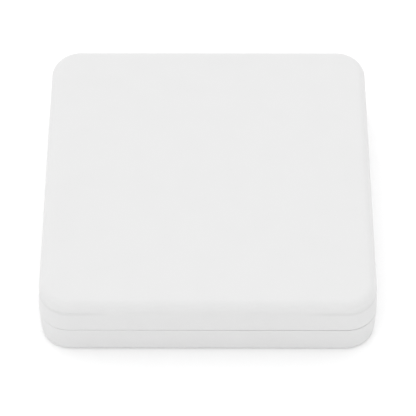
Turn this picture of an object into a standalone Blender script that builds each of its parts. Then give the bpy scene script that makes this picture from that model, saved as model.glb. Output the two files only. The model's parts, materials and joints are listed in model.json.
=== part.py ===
"""Square wireless charging pad, modelled as the pieces that come apart on a bench.

Metres, +Z up. The origin is the centre of the footprint, on the table. The front faces -Y and
the rear wall, with the cable inlet, faces +Y.
"""
import math

import bmesh
import bpy
from mathutils import Matrix, Vector

# Housing: two shells that meet at one parting line
PAD_WIDTH = 0.0900
PAD_HEIGHT = 0.0196
PARTING_HEIGHT = 0.0094
REVEAL = 0.0003
CORNER_RADIUS = 0.0081
TOP_EDGE_RADIUS = 0.0026
BASE_EDGE_RADIUS = 0.0010
TOP_LEAN = 0.059
BASE_LEAN = 0.016
WALL = 0.0020
GAP = 0.0003

# Tongue of the top shell, and the rebate that it drops into
TONGUE_DEPTH = 0.0014
TONGUE_WIDTH = 0.0011
REBATE_WIDTH = 0.0010

# Rubber feet, in recesses that also hide the housing screws
FOOT_PROUD = 0.0001
FOOT_RADIUS = 0.0050
FOOT_THICKNESS = 0.0012
FOOT_CHAMFER = 0.0004
POST_OFFSET = 0.0345

# Blank label recess under the base
LABEL_SIZE = (0.0440, 0.0260)
LABEL_DEPTH = 0.0003
LABEL_CORNER = 0.0020

# Screws: head radius, head height, shank radius, shank length
HOUSING_SCREW = (0.0023, 0.0016, 0.00105, 0.0100)
TRAY_SCREW = (0.0019, 0.0013, 0.0009, 0.0050)
BOARD_SCREW = (0.0018, 0.0012, 0.0008, 0.0040)
HEAD_SEAT_Z = 0.0040
HEAD_CROWN = 0.62
HEAD_SIDE = 0.45
RECESS_REACH = 0.55
RECESS_WIDTH = 0.16
RECESS_DEPTH = 0.6

# Posts, bosses and ribs inside the shells
POST_RADIUS = 0.0040
HOUSING_BOSS_RADIUS = 0.0032
TRAY_BOSS_RADIUS = 0.0024
STANDOFF_RADIUS = 0.0026
RIB_THICKNESS = 0.0012
RIB_ABOVE_RIM = 0.0012
RIB_BELOW_POST = 0.0005
PILOT_DEPTH = 0.0010
STAGGER = 0.0002

# Coil stack, from the charging surface down
COIL_TOP_CLEARANCE = 0.0004
COIL_OUTER_RADIUS = 0.0220
COIL_INNER_RADIUS = 0.01025
COIL_THICKNESS = 0.0020
TAPE_THICKNESS = 0.0002
FERRITE_SIZE = 0.0520
FERRITE_THICKNESS = 0.0012
PLATE_THICKNESS = 0.0006
FOAM_SIZE = 0.0500
FOAM_THICKNESS = 0.0012
SHEET_HOLE_RADIUS = 0.0022
TRAY_FLOOR = 0.0013
TRAY_RIM = 0.0012
TRAY_INNER_SIZE = 0.0532
TRAY_CORNER = 0.0030
TRAY_SCREW_PLACE = (0.0325, 0.0160)
TRAY_EYE_RADIUS = 0.0034
LEAD_NOTCH_HALF = 0.0068
LEAD_RADIUS = 0.0009
LEAD_SPREAD = 0.0040
SENSOR_RADIUS = 0.0011
SENSOR_LEAD_RADIUS = 0.0003
SENSOR_LEAD_SPREAD = 0.0009

# Circuit board, on short standoffs in the rear half of the base
BOARD_SIZE = (0.0600, 0.0356)
BOARD_REAR = 0.0416
BOARD_THICKNESS = 0.0010
BOARD_UNDERSIDE = 0.0044
BOARD_CORNER = 0.0015
BOARD_SCREW_PLACES = ((-0.0260, 0.0110), (0.0260, 0.0110), (-0.0260, 0.0370), (0.0260, 0.0370))

# Parts on the board: size along X, along Y and upwards, and place
CONTROLLER_SIZE = (0.0060, 0.0060, 0.0009)
CONTROLLER_PLACE = (0.0, 0.0205)
BRIDGE_SIZE = (0.0050, 0.0060, 0.0010)
BRIDGE_PLACES = ((-0.0095, 0.0165), (0.0095, 0.0165))
INDUCTOR_SIZE = (0.0072, 0.0072, 0.0030)
INDUCTOR_PLACE = (-0.0175, 0.0270)
INDUCTOR_EDGE = 0.0006
FILTER_SIZE = (0.0045, 0.0032, 0.0028)
FILTER_PLACE = (-0.0095, 0.0365)
FILTER_EDGE = 0.0003
DIODE_SIZE = (0.0046, 0.0036, 0.0022)
DIODE_PLACE = (0.0205, 0.0370)
CRYSTAL_SIZE = (0.0032, 0.0025, 0.0008)
CRYSTAL_PLACE = (0.0085, 0.0260)
RESONANCE_SIZE = (0.0045, 0.0032, 0.0025)
RESONANCE_Y = 0.0100
RESONANCE_COLUMNS = (-0.0180, -0.0060, 0.0060, 0.0180)
BULK_SIZE = (0.0073, 0.0043, 0.0028)
BULK_X = 0.0185
BULK_ROWS = (0.0225, 0.0290)
CASE_EDGE = 0.0002
LED_SIZE = (0.0016, 0.0010, 0.0010)
LED_Y = 0.0404
LED_EDGE = 0.00005

# Cable inlet: a sunk USB-C receptacle
INLET_WIDTH = 0.00894
INLET_HEIGHT = 0.00316
INLET_LENGTH = 0.00735
INLET_SHEET = 0.0003
INLET_AXIS_Z = 0.0052
INLET_SET_BACK = 0.0004
TONGUE_PLATE = (0.0067, 0.0050, 0.0007)
INSULATOR = (0.0069, 0.0016, 0.0019)
REAR_TOOL_REACH = 0.0040
ROUND_END = 0.96

# Status light beside the inlet
LIGHT_X = 0.0130
LIGHT_Z = 0.0062
LIGHT_PIPE_RADIUS = 0.0008
LIGHT_PIPE_LENGTH = 0.0036
LIGHT_PIPE_SUNK = 0.0001

# Steel weight in the front half of the base
WEIGHT_SIZE = (0.0580, 0.0340)
WEIGHT_CENTRE_Y = -0.0210
WEIGHT_THICKNESS = 0.0035
WEIGHT_CORNER = 0.0020
WEIGHT_TAPE_MARGIN = 0.0040
FENCE_HEIGHT = 0.0022
FENCE_CLEARANCE = 0.0004
FENCE_SIDE_HALF = 0.0060
FENCE_END_SPAN = (0.0100, 0.0220)

# Fineness of the round shapes
CORNER_SEGMENTS = 8
EDGE_SEGMENTS = 4
BORE_SEGMENTS = 16
TURNED_STEPS = 24
COIL_STEPS = 48
MERGE_DISTANCE = 0.00001

# Heights that follow from the sizes above
HALF = PAD_WIDTH / 2
FLOOR_Z = FOOT_PROUD + WALL
CEILING_Z = PAD_HEIGHT - WALL
TOP_RIM_Z = PARTING_HEIGHT + REVEAL / 2
BASE_RIM_Z = PARTING_HEIGHT - REVEAL / 2
TONGUE_TIP_Z = TOP_RIM_Z - REVEAL / 2 - TONGUE_DEPTH
REBATE_FLOOR_Z = TONGUE_TIP_Z - GAP
POST_TOP_Z = REBATE_FLOOR_Z - 0.0001
FOOT_SEAT_Z = FOOT_THICKNESS + GAP
COIL_Z = CEILING_Z - COIL_TOP_CLEARANCE - COIL_THICKNESS
TAPE_Z = COIL_Z - GAP - TAPE_THICKNESS
FERRITE_Z = TAPE_Z - GAP - FERRITE_THICKNESS
PLATE_Z = FERRITE_Z - GAP - PLATE_THICKNESS
FOAM_Z = PLATE_Z - GAP - FOAM_THICKNESS
TRAY_Z = FOAM_Z - GAP - TRAY_FLOOR
BOARD_TOP = BOARD_UNDERSIDE + BOARD_THICKNESS
PART_Z = BOARD_TOP + GAP

FOUR_CORNERS = ((-1, -1), (1, -1), (-1, 1), (1, 1))
REAR_FACING = Matrix.Rotation(math.radians(-90), 4, "X")


# ------------------------------------------------------------------------------ scene set-up
def clear_scene():
    for obj in list(bpy.data.objects):
        bpy.data.objects.remove(obj, do_unlink=True)


def new_collection(name):
    collection = bpy.data.collections.new(name)
    bpy.context.scene.collection.children.link(collection)
    return collection


def new_material(name, colour, roughness, metallic=0.0):
    material = bpy.data.materials.new(name)
    material.use_nodes = True
    shader = material.node_tree.nodes["Principled BSDF"]
    shader.inputs["Base Color"].default_value = (*colour, 1.0)
    shader.inputs["Roughness"].default_value = roughness
    shader.inputs["Metallic"].default_value = metallic
    return material


clear_scene()
PAD = new_collection("wireless_charging_pad")
CUTTERS = new_collection("wireless_charging_pad_cutters")
ORIGIN = bpy.data.objects.new("pad_origin", None)
PAD.objects.link(ORIGIN)

WHITE_ABS = new_material("white_abs", (0.86, 0.86, 0.86), 0.45)
GREY_RUBBER = new_material("grey_rubber", (0.30, 0.30, 0.31), 0.80)
NATURAL_ABS = new_material("natural_abs", (0.62, 0.61, 0.58), 0.55)
COPPER = new_material("enamelled_copper", (0.72, 0.33, 0.16), 0.35, 1.0)
LITZ_SLEEVE = new_material("litz_sleeve", (0.62, 0.28, 0.12), 0.45, 0.3)
FERRITE = new_material("ferrite", (0.06, 0.06, 0.07), 0.60)
ALUMINIUM = new_material("aluminium", (0.80, 0.81, 0.82), 0.35, 1.0)
FOAM = new_material("foam", (0.10, 0.10, 0.10), 0.95)
TAPE = new_material("adhesive_tape", (0.85, 0.80, 0.62), 0.40)
BOARD_GREEN = new_material("board_green", (0.02, 0.16, 0.07), 0.35)
STEEL = new_material("steel", (0.60, 0.60, 0.62), 0.35, 1.0)
TIN_PLATE = new_material("tin_plate", (0.75, 0.75, 0.74), 0.30, 1.0)
BLACK_RESIN = new_material("black_resin", (0.02, 0.02, 0.022), 0.50)
CERAMIC_TAN = new_material("ceramic_tan", (0.48, 0.36, 0.24), 0.50)
TANTALUM = new_material("tantalum_case", (0.75, 0.52, 0.10), 0.45)
CLEAR_RESIN = new_material("clear_resin", (0.88, 0.90, 0.92), 0.15)
SENSOR_BLUE = new_material("sensor_blue", (0.05, 0.10, 0.32), 0.40)


# ------------------------------------------------------------------------------ building blocks
def shade(mesh):
    mesh.shade_smooth()
    mesh.set_sharp_from_angle(angle=math.radians(30))


def add_part(name, data, material, location=(0, 0, 0)):
    part = bpy.data.objects.new(name, data)
    part.location = location
    part.parent = ORIGIN
    data.materials.append(material)
    PAD.objects.link(part)
    return part


def add_cutter(name, mesh):
    cutter = bpy.data.objects.new(name, mesh)
    cutter.hide_render = True
    cutter.display_type = "WIRE"
    CUTTERS.objects.link(cutter)
    return cutter


def combine(part, tool, operation="DIFFERENCE"):
    modifier = part.modifiers.new(tool.name, "BOOLEAN")
    modifier.operation = operation
    modifier.solver = "EXACT"
    modifier.object = tool


def mesh_from(bm, name):
    mesh = bpy.data.meshes.new(name)
    bm.to_mesh(mesh)
    bm.free()
    shade(mesh)
    return mesh


def edges_at_height(bm, height):
    def level(edge):
        return all(abs(vert.co.z - height) < MERGE_DISTANCE for vert in edge.verts)

    return [edge for edge in bm.edges if level(edge)]


def block(name, half_low, half_high, low, high, corner=0.0, segments=CORNER_SEGMENTS,
          top_round=0.0, base_round=0.0, open_base=False):
    """A rectangular block with rounded upright corners, whose sides may lean."""
    bm = bmesh.new()
    bmesh.ops.create_cube(bm, size=2.0)
    for vert in bm.verts:
        half = half_high if vert.co.z > 0 else half_low
        height = high if vert.co.z > 0 else low
        vert.co = Vector((vert.co.x * half[0], vert.co.y * half[1], height))
    if open_base:
        base = [face for face in bm.faces if face.normal.z < -0.5]
        bmesh.ops.delete(bm, geom=base, context="FACES_ONLY")
    if corner:
        upright = [edge for edge in bm.edges
                   if abs(edge.verts[0].co.z - edge.verts[1].co.z) > (high - low) / 2]
        bmesh.ops.bevel(bm, geom=upright, offset=corner, offset_type="OFFSET",
                        segments=segments, profile=0.5, affect="EDGES")
    for radius, height in ((top_round, high), (base_round, low)):
        if radius:
            bmesh.ops.bevel(bm, geom=edges_at_height(bm, height), offset=radius,
                            offset_type="OFFSET", segments=EDGE_SEGMENTS, profile=0.5,
                            affect="EDGES")
    return mesh_from(bm, name)


def boxes(name, spans):
    """Several plain boxes in one mesh, each given by its lowest and highest corner."""
    bm = bmesh.new()
    for low, high in spans:
        low, high = Vector(low), Vector(high)
        place = Matrix.Translation((low + high) / 2) @ Matrix.Diagonal((*(high - low), 1.0))
        bmesh.ops.create_cube(bm, size=1.0, matrix=place)
    return mesh_from(bm, name)


def cylinders(name, posts, segments=BORE_SEGMENTS):
    """Several upright cylinders in one mesh: x, y, radius, lowest and highest level."""
    bm = bmesh.new()
    for x, y, radius, low, high in posts:
        bmesh.ops.create_cone(bm, cap_ends=True, segments=segments, radius1=radius,
                              radius2=radius, depth=high - low,
                              matrix=Matrix.Translation((x, y, (low + high) / 2)))
    return mesh_from(bm, name)


def turned(name, profile, material, location, steps=TURNED_STEPS, closed=False):
    """A profile of (radius, height) points, top to bottom down its outer side, turned round Z."""
    count = len(profile)
    edges = [(i, i + 1) for i in range(count - 1)]
    if closed:
        edges.append((count - 1, 0))
    mesh = bpy.data.meshes.new(name)
    mesh.from_pydata([(radius, 0.0, height) for radius, height in profile], edges, [])
    part = add_part(name, mesh, material, location)
    screw = part.modifiers.new("turn", "SCREW")
    screw.steps = steps
    screw.render_steps = steps
    screw.use_smooth_shade = True
    screw.use_merge_vertices = True
    screw.merge_threshold = MERGE_DISTANCE
    return part


def arc(centre, radius, start, end, segments):
    """Points on an arc, from one angle to another in degrees."""
    points = []
    for i in range(segments + 1):
        angle = math.radians(start + (end - start) * i / segments)
        points.append((centre[0] + radius * math.cos(angle), centre[1] + radius * math.sin(angle)))
    return points


def rounded_outline(half_x, half_y, corner, segments=4):
    points = []
    for sx, sy, start in ((1, 1, 0), (-1, 1, 90), (-1, -1, 180), (1, -1, 270)):
        centre = (sx * (half_x - corner), sy * (half_y - corner))
        points += arc(centre, corner, start, start + 90, segments)
    return points


def circle_outline(x, y, radius, segments=BORE_SEGMENTS):
    return arc((x, y), radius, 0, 360, segments)[:-1]


def flat_part(name, outlines, thickness, material, location):
    """A flat outline with holes in it, thickened both ways about its middle plane."""
    curve = bpy.data.curves.new(name, "CURVE")
    curve.dimensions = "2D"
    curve.fill_mode = "BOTH"
    curve.extrude = thickness / 2
    for outline in outlines:
        spline = curve.splines.new("POLY")
        spline.points.add(len(outline) - 1)
        for point, (x, y) in zip(spline.points, outline):
            point.co = (x, y, 0.0, 1.0)
        spline.use_cyclic_u = True
    return add_part(name, curve, material, location)


def smooth_route(stops, steps=4):
    """A Catmull-Rom curve through the stops, with its ends straight."""
    stops = [Vector(stop) for stop in stops]
    path = [2 * stops[0] - stops[1]] + stops + [2 * stops[-1] - stops[-2]]
    route = []
    for before, start, end, after in zip(path, path[1:], path[2:], path[3:]):
        for i in range(steps):
            t = i / steps
            bend = (2 * before - 5 * start + 4 * end - after) * t * t
            twist = (3 * start - before - 3 * end + after) * t * t * t
            route.append(start + 0.5 * ((end - before) * t + bend + twist))
    route.append(stops[-1])
    return route


def wire(name, stops, radius, material):
    curve = bpy.data.curves.new(name, "CURVE")
    curve.dimensions = "3D"
    curve.bevel_depth = radius
    curve.bevel_resolution = 2
    curve.use_fill_caps = True
    route = smooth_route(stops)
    spline = curve.splines.new("POLY")
    spline.points.add(len(route) - 1)
    for point, place in zip(spline.points, route):
        point.co = (*place, 1.0)
    return add_part(name, curve, material)


def box_part(name, size, place, material, edge=0.0001):
    """A small moulded body that stands on the board, with its edges just broken."""
    bm = bmesh.new()
    bmesh.ops.create_cube(bm, size=1.0, matrix=Matrix.Diagonal((*size, 1.0)))
    part = add_part(name, mesh_from(bm, name), material,
                    (place[0], place[1], place[2] + size[2] / 2))
    bevel = part.modifiers.new("edge", "BEVEL")
    bevel.width = edge
    bevel.segments = 1
    return part


# ------------------------------------------------------------------------------ housing
def housing_half(height):
    """Half the outer width of the housing at a height, from the lean of its two shells."""
    if height > PARTING_HEIGHT:
        return HALF - TOP_LEAN * (height - PARTING_HEIGHT)
    return HALF - BASE_LEAN * (PARTING_HEIGHT - height)


def corner_ribs(low, high, reach):
    """Ribs that tie the four corner posts to the side walls, across X and across Y."""
    thin = RIB_THICKNESS / 2
    across_x = []
    across_y = []
    for sx, sy in FOUR_CORNERS:
        far_x = sorted((sx * POST_OFFSET, sx * reach))
        far_y = sorted((sy * POST_OFFSET, sy * reach))
        x, y = sx * POST_OFFSET, sy * POST_OFFSET
        across_x.append(((far_x[0], y - thin, low), (far_x[1], y + thin, high)))
        across_y.append(((x - thin, far_y[0], low), (x + thin, far_y[1], high)))
    return across_x, across_y


def tongue_ring():
    """The lip inside the top shell's rim that closes the reveal from within."""
    outer = HALF - REBATE_WIDTH - GAP
    inner = outer - TONGUE_WIDTH
    root = TOP_RIM_Z + 0.0008
    ring = add_cutter("tongue_ring", block("tongue_ring", (outer, outer), (outer, outer),
                                           TONGUE_TIP_Z, root,
                                           CORNER_RADIUS - (HALF - outer)))
    bore = add_cutter("tongue_bore", block("tongue_bore", (inner, inner), (inner, inner),
                                           TONGUE_TIP_Z - WALL, root + WALL,
                                           CORNER_RADIUS - (HALF - inner)))
    combine(ring, bore)
    return ring


def tray_screw_places():
    return [(sx * TRAY_SCREW_PLACE[0], sy * TRAY_SCREW_PLACE[1]) for sx, sy in FOUR_CORNERS]


def make_top_shell():
    rim = housing_half(TOP_RIM_Z)
    top = housing_half(PAD_HEIGHT)
    mesh = block("top_shell", (rim, rim), (top, top), TOP_RIM_Z, PAD_HEIGHT, CORNER_RADIUS,
                 top_round=TOP_EDGE_RADIUS, open_base=True)
    shell = add_part("top_shell", mesh, WHITE_ABS)
    solidify = shell.modifiers.new("wall", "SOLIDIFY")
    solidify.thickness = WALL
    solidify.offset = -1.0
    solidify.use_even_offset = True

    root = CEILING_Z + WALL / 4
    boss_foot = POST_TOP_Z + GAP
    ear_top = TRAY_Z + TRAY_FLOOR
    bosses = [(sx * POST_OFFSET, sy * POST_OFFSET, HOUSING_BOSS_RADIUS, boss_foot, root)
              for sx, sy in FOUR_CORNERS]
    bosses += [(x, y, TRAY_BOSS_RADIUS, ear_top + GAP, root) for x, y in tray_screw_places()]
    combine(shell, add_cutter("top_bosses", cylinders("top_bosses", bosses)), "UNION")
    across_x, across_y = corner_ribs(TOP_RIM_Z + RIB_ABOVE_RIM, root + STAGGER, HALF - WALL * 0.7)
    combine(shell, add_cutter("top_ribs_x", boxes("top_ribs_x", across_x)), "UNION")
    combine(shell, add_cutter("top_ribs_y", boxes("top_ribs_y", across_y)), "UNION")
    combine(shell, tongue_ring(), "UNION")

    blind = CEILING_Z - PILOT_DEPTH
    pilots = [(sx * POST_OFFSET, sy * POST_OFFSET, HOUSING_SCREW[2] + GAP, boss_foot - WALL, blind)
              for sx, sy in FOUR_CORNERS]
    pilots += [(x, y, TRAY_SCREW[2] + GAP, ear_top - GAP, blind) for x, y in tray_screw_places()]
    combine(shell, add_cutter("top_pilots", cylinders("top_pilots", pilots, 12)))


def weight_fence():
    """Short ribs on the floor that keep the weight in its place."""
    half_x, half_y = WEIGHT_SIZE[0] / 2, WEIGHT_SIZE[1] / 2
    low, high = FLOOR_Z - WALL / 4, FLOOR_Z + FENCE_HEIGHT
    side_x = half_x + FENCE_CLEARANCE
    front = WEIGHT_CENTRE_Y - half_y - FENCE_CLEARANCE
    rear = WEIGHT_CENTRE_Y + half_y + FENCE_CLEARANCE
    spans = []
    for side in (-1, 1):
        x = sorted((side * side_x, side * (side_x + RIB_THICKNESS)))
        spans.append(((x[0], WEIGHT_CENTRE_Y - FENCE_SIDE_HALF, low),
                      (x[1], WEIGHT_CENTRE_Y + FENCE_SIDE_HALF, high)))
        along = sorted((side * FENCE_END_SPAN[0], side * FENCE_END_SPAN[1]))
        spans.append(((along[0], front - RIB_THICKNESS, low), (along[1], front, high)))
        spans.append(((along[0], rear, low), (along[1], rear + RIB_THICKNESS, high)))
    return spans


def rear_wall_tool(name, half_x, half_z, centre_x, centre_z, corner):
    """A rounded prism that lies along Y and passes through the rear wall."""
    mesh = block(name, (half_x, half_z), (half_x, half_z), -REAR_TOOL_REACH, REAR_TOOL_REACH,
                 corner, 6)
    mesh.transform(Matrix.Translation((centre_x, HALF - WALL / 2, centre_z)) @ REAR_FACING)
    return add_cutter(name, mesh)


def make_bottom_shell():
    base = housing_half(FOOT_PROUD)
    rim = housing_half(BASE_RIM_Z)
    mesh = block("bottom_shell", (base, base), (rim, rim), FOOT_PROUD, BASE_RIM_Z, CORNER_RADIUS,
                 base_round=BASE_EDGE_RADIUS)
    shell = add_part("bottom_shell", mesh, WHITE_ABS)
    above = BASE_RIM_Z + WALL
    inside = HALF - WALL
    cavity = block("base_cavity", (inside, inside), (inside, inside), FLOOR_Z, above,
                   CORNER_RADIUS - WALL)
    combine(shell, add_cutter("base_cavity", cavity))

    root = FLOOR_Z - WALL / 4
    posts = [(sx * POST_OFFSET, sy * POST_OFFSET, POST_RADIUS, root, POST_TOP_Z)
             for sx, sy in FOUR_CORNERS]
    posts += [(x, y, STANDOFF_RADIUS, root, BOARD_UNDERSIDE - GAP) for x, y in BOARD_SCREW_PLACES]
    combine(shell, add_cutter("base_posts", cylinders("base_posts", posts)), "UNION")
    across_x, across_y = corner_ribs(root - STAGGER, POST_TOP_Z - RIB_BELOW_POST,
                                     HALF - WALL / 2)
    combine(shell, add_cutter("base_ribs_x", boxes("base_ribs_x", across_x)), "UNION")
    combine(shell, add_cutter("base_ribs_y", boxes("base_ribs_y", across_y)), "UNION")
    combine(shell, add_cutter("weight_fence", boxes("weight_fence", weight_fence())), "UNION")

    rebate = HALF - REBATE_WIDTH
    combine(shell, add_cutter("base_rebate", block("base_rebate", (rebate, rebate),
                                                   (rebate, rebate), REBATE_FLOOR_Z,
                                                   above + WALL, CORNER_RADIUS - REBATE_WIDTH)))
    recesses = [(sx * POST_OFFSET, sy * POST_OFFSET, FOOT_RADIUS + GAP, -WALL, FOOT_SEAT_Z)
                for sx, sy in FOUR_CORNERS]
    combine(shell, add_cutter("foot_recesses", cylinders("foot_recesses", recesses, TURNED_STEPS)))
    heads = [(sx * POST_OFFSET, sy * POST_OFFSET, HOUSING_SCREW[0] + GAP, 0.0, HEAD_SEAT_Z)
             for sx, sy in FOUR_CORNERS]
    combine(shell, add_cutter("head_bores", cylinders("head_bores", heads)))
    shanks = [(sx * POST_OFFSET, sy * POST_OFFSET, HOUSING_SCREW[2] + GAP, GAP, above)
              for sx, sy in FOUR_CORNERS]
    shanks += [(x, y, BOARD_SCREW[2] + GAP, FLOOR_Z - WALL / 2, above)
               for x, y in BOARD_SCREW_PLACES]
    combine(shell, add_cutter("shank_bores", cylinders("shank_bores", shanks, 12)))

    label = (LABEL_SIZE[0] / 2, LABEL_SIZE[1] / 2)
    combine(shell, add_cutter("label_recess", block("label_recess", label, label, -WALL,
                                                    FOOT_PROUD + LABEL_DEPTH, LABEL_CORNER, 4)))
    half_x, half_z = INLET_WIDTH / 2 + GAP, INLET_HEIGHT / 2 + GAP
    combine(shell, rear_wall_tool("inlet_opening", half_x, half_z, 0.0, INLET_AXIS_Z,
                                  half_z * ROUND_END))
    light = LIGHT_PIPE_RADIUS + GAP
    combine(shell, rear_wall_tool("light_opening", light, light, LIGHT_X, LIGHT_Z,
                                  light * ROUND_END))


def make_feet():
    rim = FOOT_RADIUS - FOOT_CHAMFER
    profile = ((0.0, FOOT_THICKNESS), (FOOT_RADIUS, FOOT_THICKNESS), (FOOT_RADIUS, FOOT_CHAMFER),
               (rim, 0.0), (0.0, 0.0))
    for number, (sx, sy) in enumerate(FOUR_CORNERS, 1):
        turned(f"foot_{number}", profile, GREY_RUBBER, (sx * POST_OFFSET, sy * POST_OFFSET, 0.0))


# ------------------------------------------------------------------------------ screws
def pan_head_screw(name, sizes, place, points_up, recess_x, recess_y):
    """A pan-head screw whose head sits at the place given and whose point leads away from it."""
    head_radius, head_height, shank_radius, length = sizes
    profile = [(0.0, head_height), (head_radius * HEAD_CROWN, head_height),
               (head_radius, head_height * HEAD_SIDE), (head_radius, 0.0), (shank_radius, 0.0),
               (shank_radius, -length + shank_radius), (0.0, -length)]
    screw = turned(name, profile, STEEL, place, 16)
    if points_up:
        screw.rotation_euler.x = math.pi
    combine(screw, recess_x)
    combine(screw, recess_y)


def screw_set(prefix, sizes, places, level, points_up):
    """One screw at each place, its head's underside at the given level."""
    head_radius, head_height = sizes[0], sizes[1]
    top = level - head_height if points_up else level + head_height
    sink = head_height * (RECESS_DEPTH if points_up else -RECESS_DEPTH)
    proud = -GAP if points_up else GAP
    low, high = sorted((top + sink, top + proud))
    reach, thin = head_radius * RECESS_REACH, head_radius * RECESS_WIDTH
    slots_x = [((x - reach, y - thin, low), (x + reach, y + thin, high)) for x, y in places]
    slots_y = [((x - thin, y - reach, low), (x + thin, y + reach, high)) for x, y in places]
    tool_x = add_cutter(prefix + "_slots_x", boxes(prefix + "_slots_x", slots_x))
    tool_y = add_cutter(prefix + "_slots_y", boxes(prefix + "_slots_y", slots_y))
    for number, (x, y) in enumerate(places, 1):
        pan_head_screw(f"{prefix}_{number}", sizes, (x, y, level), points_up, tool_x, tool_y)


def make_screws():
    corners = [(sx * POST_OFFSET, sy * POST_OFFSET) for sx, sy in FOUR_CORNERS]
    screw_set("housing_screw", HOUSING_SCREW, corners, HEAD_SEAT_Z - GAP, True)
    screw_set("tray_screw", TRAY_SCREW, tray_screw_places(), TRAY_Z - GAP, True)
    screw_set("board_screw", BOARD_SCREW, BOARD_SCREW_PLACES, BOARD_TOP + GAP, False)


# ------------------------------------------------------------------------------ coil stack
def make_coil():
    ease = 0.0003
    outer, inner, thick = COIL_OUTER_RADIUS, COIL_INNER_RADIUS, COIL_THICKNESS
    profile = [(inner + ease, thick), (outer - ease, thick), (outer, thick - ease), (outer, ease),
               (outer - ease, 0.0), (inner + ease, 0.0), (inner, ease), (inner, thick - ease)]
    turned("charging_coil", profile, COPPER, (0, 0, COIL_Z), COIL_STEPS, closed=True)
    flat_part("coil_tape", [circle_outline(0, 0, outer - 2 * ease, 32),
                            circle_outline(0, 0, inner + 2 * ease, 24)],
              TAPE_THICKNESS, TAPE, (0, 0, TAPE_Z + TAPE_THICKNESS / 2))


def square_sheet(name, size, thickness, material, low):
    half = size / 2
    outlines = [rounded_outline(half, half, TRAY_CORNER - GAP, 3),
                circle_outline(0, 0, SHEET_HOLE_RADIUS, 12)]
    flat_part(name, outlines, thickness, material, (0, 0, low + thickness / 2))


def make_coil_backing():
    square_sheet("ferrite_sheet", FERRITE_SIZE, FERRITE_THICKNESS, FERRITE, FERRITE_Z)
    square_sheet("shield_plate", FERRITE_SIZE, PLATE_THICKNESS, ALUMINIUM, PLATE_Z)
    square_sheet("foam_pad", FOAM_SIZE, FOAM_THICKNESS, FOAM, FOAM_Z)


def make_coil_tray():
    inner = TRAY_INNER_SIZE / 2
    outer = inner + TRAY_RIM
    rim_top = COIL_Z + COIL_THICKNESS - GAP
    mesh = block("coil_tray", (outer, outer), (outer, outer), TRAY_Z, rim_top, TRAY_CORNER, 4)
    tray = add_part("coil_tray", mesh, NATURAL_ABS)
    pocket = block("tray_pocket", (inner, inner), (inner, inner), TRAY_Z + TRAY_FLOOR,
                   rim_top + WALL, TRAY_CORNER - TRAY_RIM, 4)
    combine(tray, add_cutter("tray_pocket", pocket))
    ears = []
    for x, y in tray_screw_places():
        near, far = sorted((math.copysign(outer - TRAY_RIM / 2, x), x))
        ears.append(((near, y - TRAY_EYE_RADIUS, TRAY_Z + STAGGER / 2),
                     (far, y + TRAY_EYE_RADIUS, TRAY_Z + TRAY_FLOOR - STAGGER / 2)))
    combine(tray, add_cutter("tray_ears", boxes("tray_ears", ears)), "UNION")
    eyes = [(x, y, TRAY_EYE_RADIUS, TRAY_Z, TRAY_Z + TRAY_FLOOR) for x, y in tray_screw_places()]
    combine(tray, add_cutter("tray_eyes", cylinders("tray_eyes", eyes)), "UNION")
    below, above = TRAY_Z - WALL, TRAY_Z + TRAY_FLOOR + WALL
    holes = [(x, y, TRAY_SCREW[2] + GAP, below, above) for x, y in tray_screw_places()]
    holes.append((0.0, 0.0, SHEET_HOLE_RADIUS, below, above))
    combine(tray, add_cutter("tray_holes", cylinders("tray_holes", holes, 12)))
    notch = [((-LEAD_NOTCH_HALF, inner - TRAY_RIM, FERRITE_Z + FERRITE_THICKNESS),
              (LEAD_NOTCH_HALF, outer + WALL, rim_top + WALL))]
    combine(tray, add_cutter("lead_notch", boxes("lead_notch", notch)))


def make_leads():
    start_y = COIL_OUTER_RADIUS + GAP
    middle = COIL_Z + COIL_THICKNESS / 2
    drop_y = TRAY_INNER_SIZE / 2 + TRAY_RIM + 0.0020
    for name, side in (("coil_lead_1", -1), ("coil_lead_2", 1)):
        x = side * LEAD_SPREAD
        wire(name, [(x, start_y, middle), (x, start_y + 0.0035, middle),
                    (x, drop_y - 0.0006, middle - 0.0018), (x, drop_y, middle - 0.0048),
                    (x, drop_y, PART_Z + 0.0020), (x, drop_y, PART_Z)], LEAD_RADIUS, LITZ_SLEEVE)


def make_temperature_sensor():
    bead_z = COIL_Z + SENSOR_RADIUS
    bm = bmesh.new()
    bmesh.ops.create_uvsphere(bm, u_segments=12, v_segments=8, radius=SENSOR_RADIUS)
    add_part("sensor_bead", mesh_from(bm, "sensor_bead"), SENSOR_BLUE, (0, 0, bead_z))
    start_z = bead_z - SENSOR_RADIUS - GAP
    board_front = BOARD_REAR - BOARD_SIZE[1]
    for name, side in (("sensor_lead_1", -1), ("sensor_lead_2", 1)):
        x = side * SENSOR_LEAD_SPREAD
        wire(name, [(x, 0.0, start_z), (x, 0.0, TRAY_Z), (x, 0.0008, TRAY_Z - 0.0014),
                    (x, board_front, TRAY_Z - 0.0022), (x, board_front + 0.0022, PART_Z + 0.0010),
                    (x, board_front + 0.0024, PART_Z)], SENSOR_LEAD_RADIUS, SENSOR_BLUE)


# ------------------------------------------------------------------------------ circuit board
def board_outline():
    """A rounded rectangle with a notch in its rear edge for the sunk inlet."""
    half_x = BOARD_SIZE[0] / 2
    front, rear, corner = BOARD_REAR - BOARD_SIZE[1], BOARD_REAR, BOARD_CORNER
    notch_x = INLET_WIDTH / 2 + GAP
    notch_y = HALF - INLET_SET_BACK - INLET_LENGTH - GAP
    outline = arc((half_x - corner, rear - corner), corner, 0, 90, 3)
    outline += [(notch_x, rear), (notch_x, notch_y), (-notch_x, notch_y), (-notch_x, rear)]
    outline += arc((corner - half_x, rear - corner), corner, 90, 180, 3)
    outline += arc((corner - half_x, front + corner), corner, 180, 270, 3)
    outline += arc((half_x - corner, front + corner), corner, 270, 360, 3)
    return outline


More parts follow.
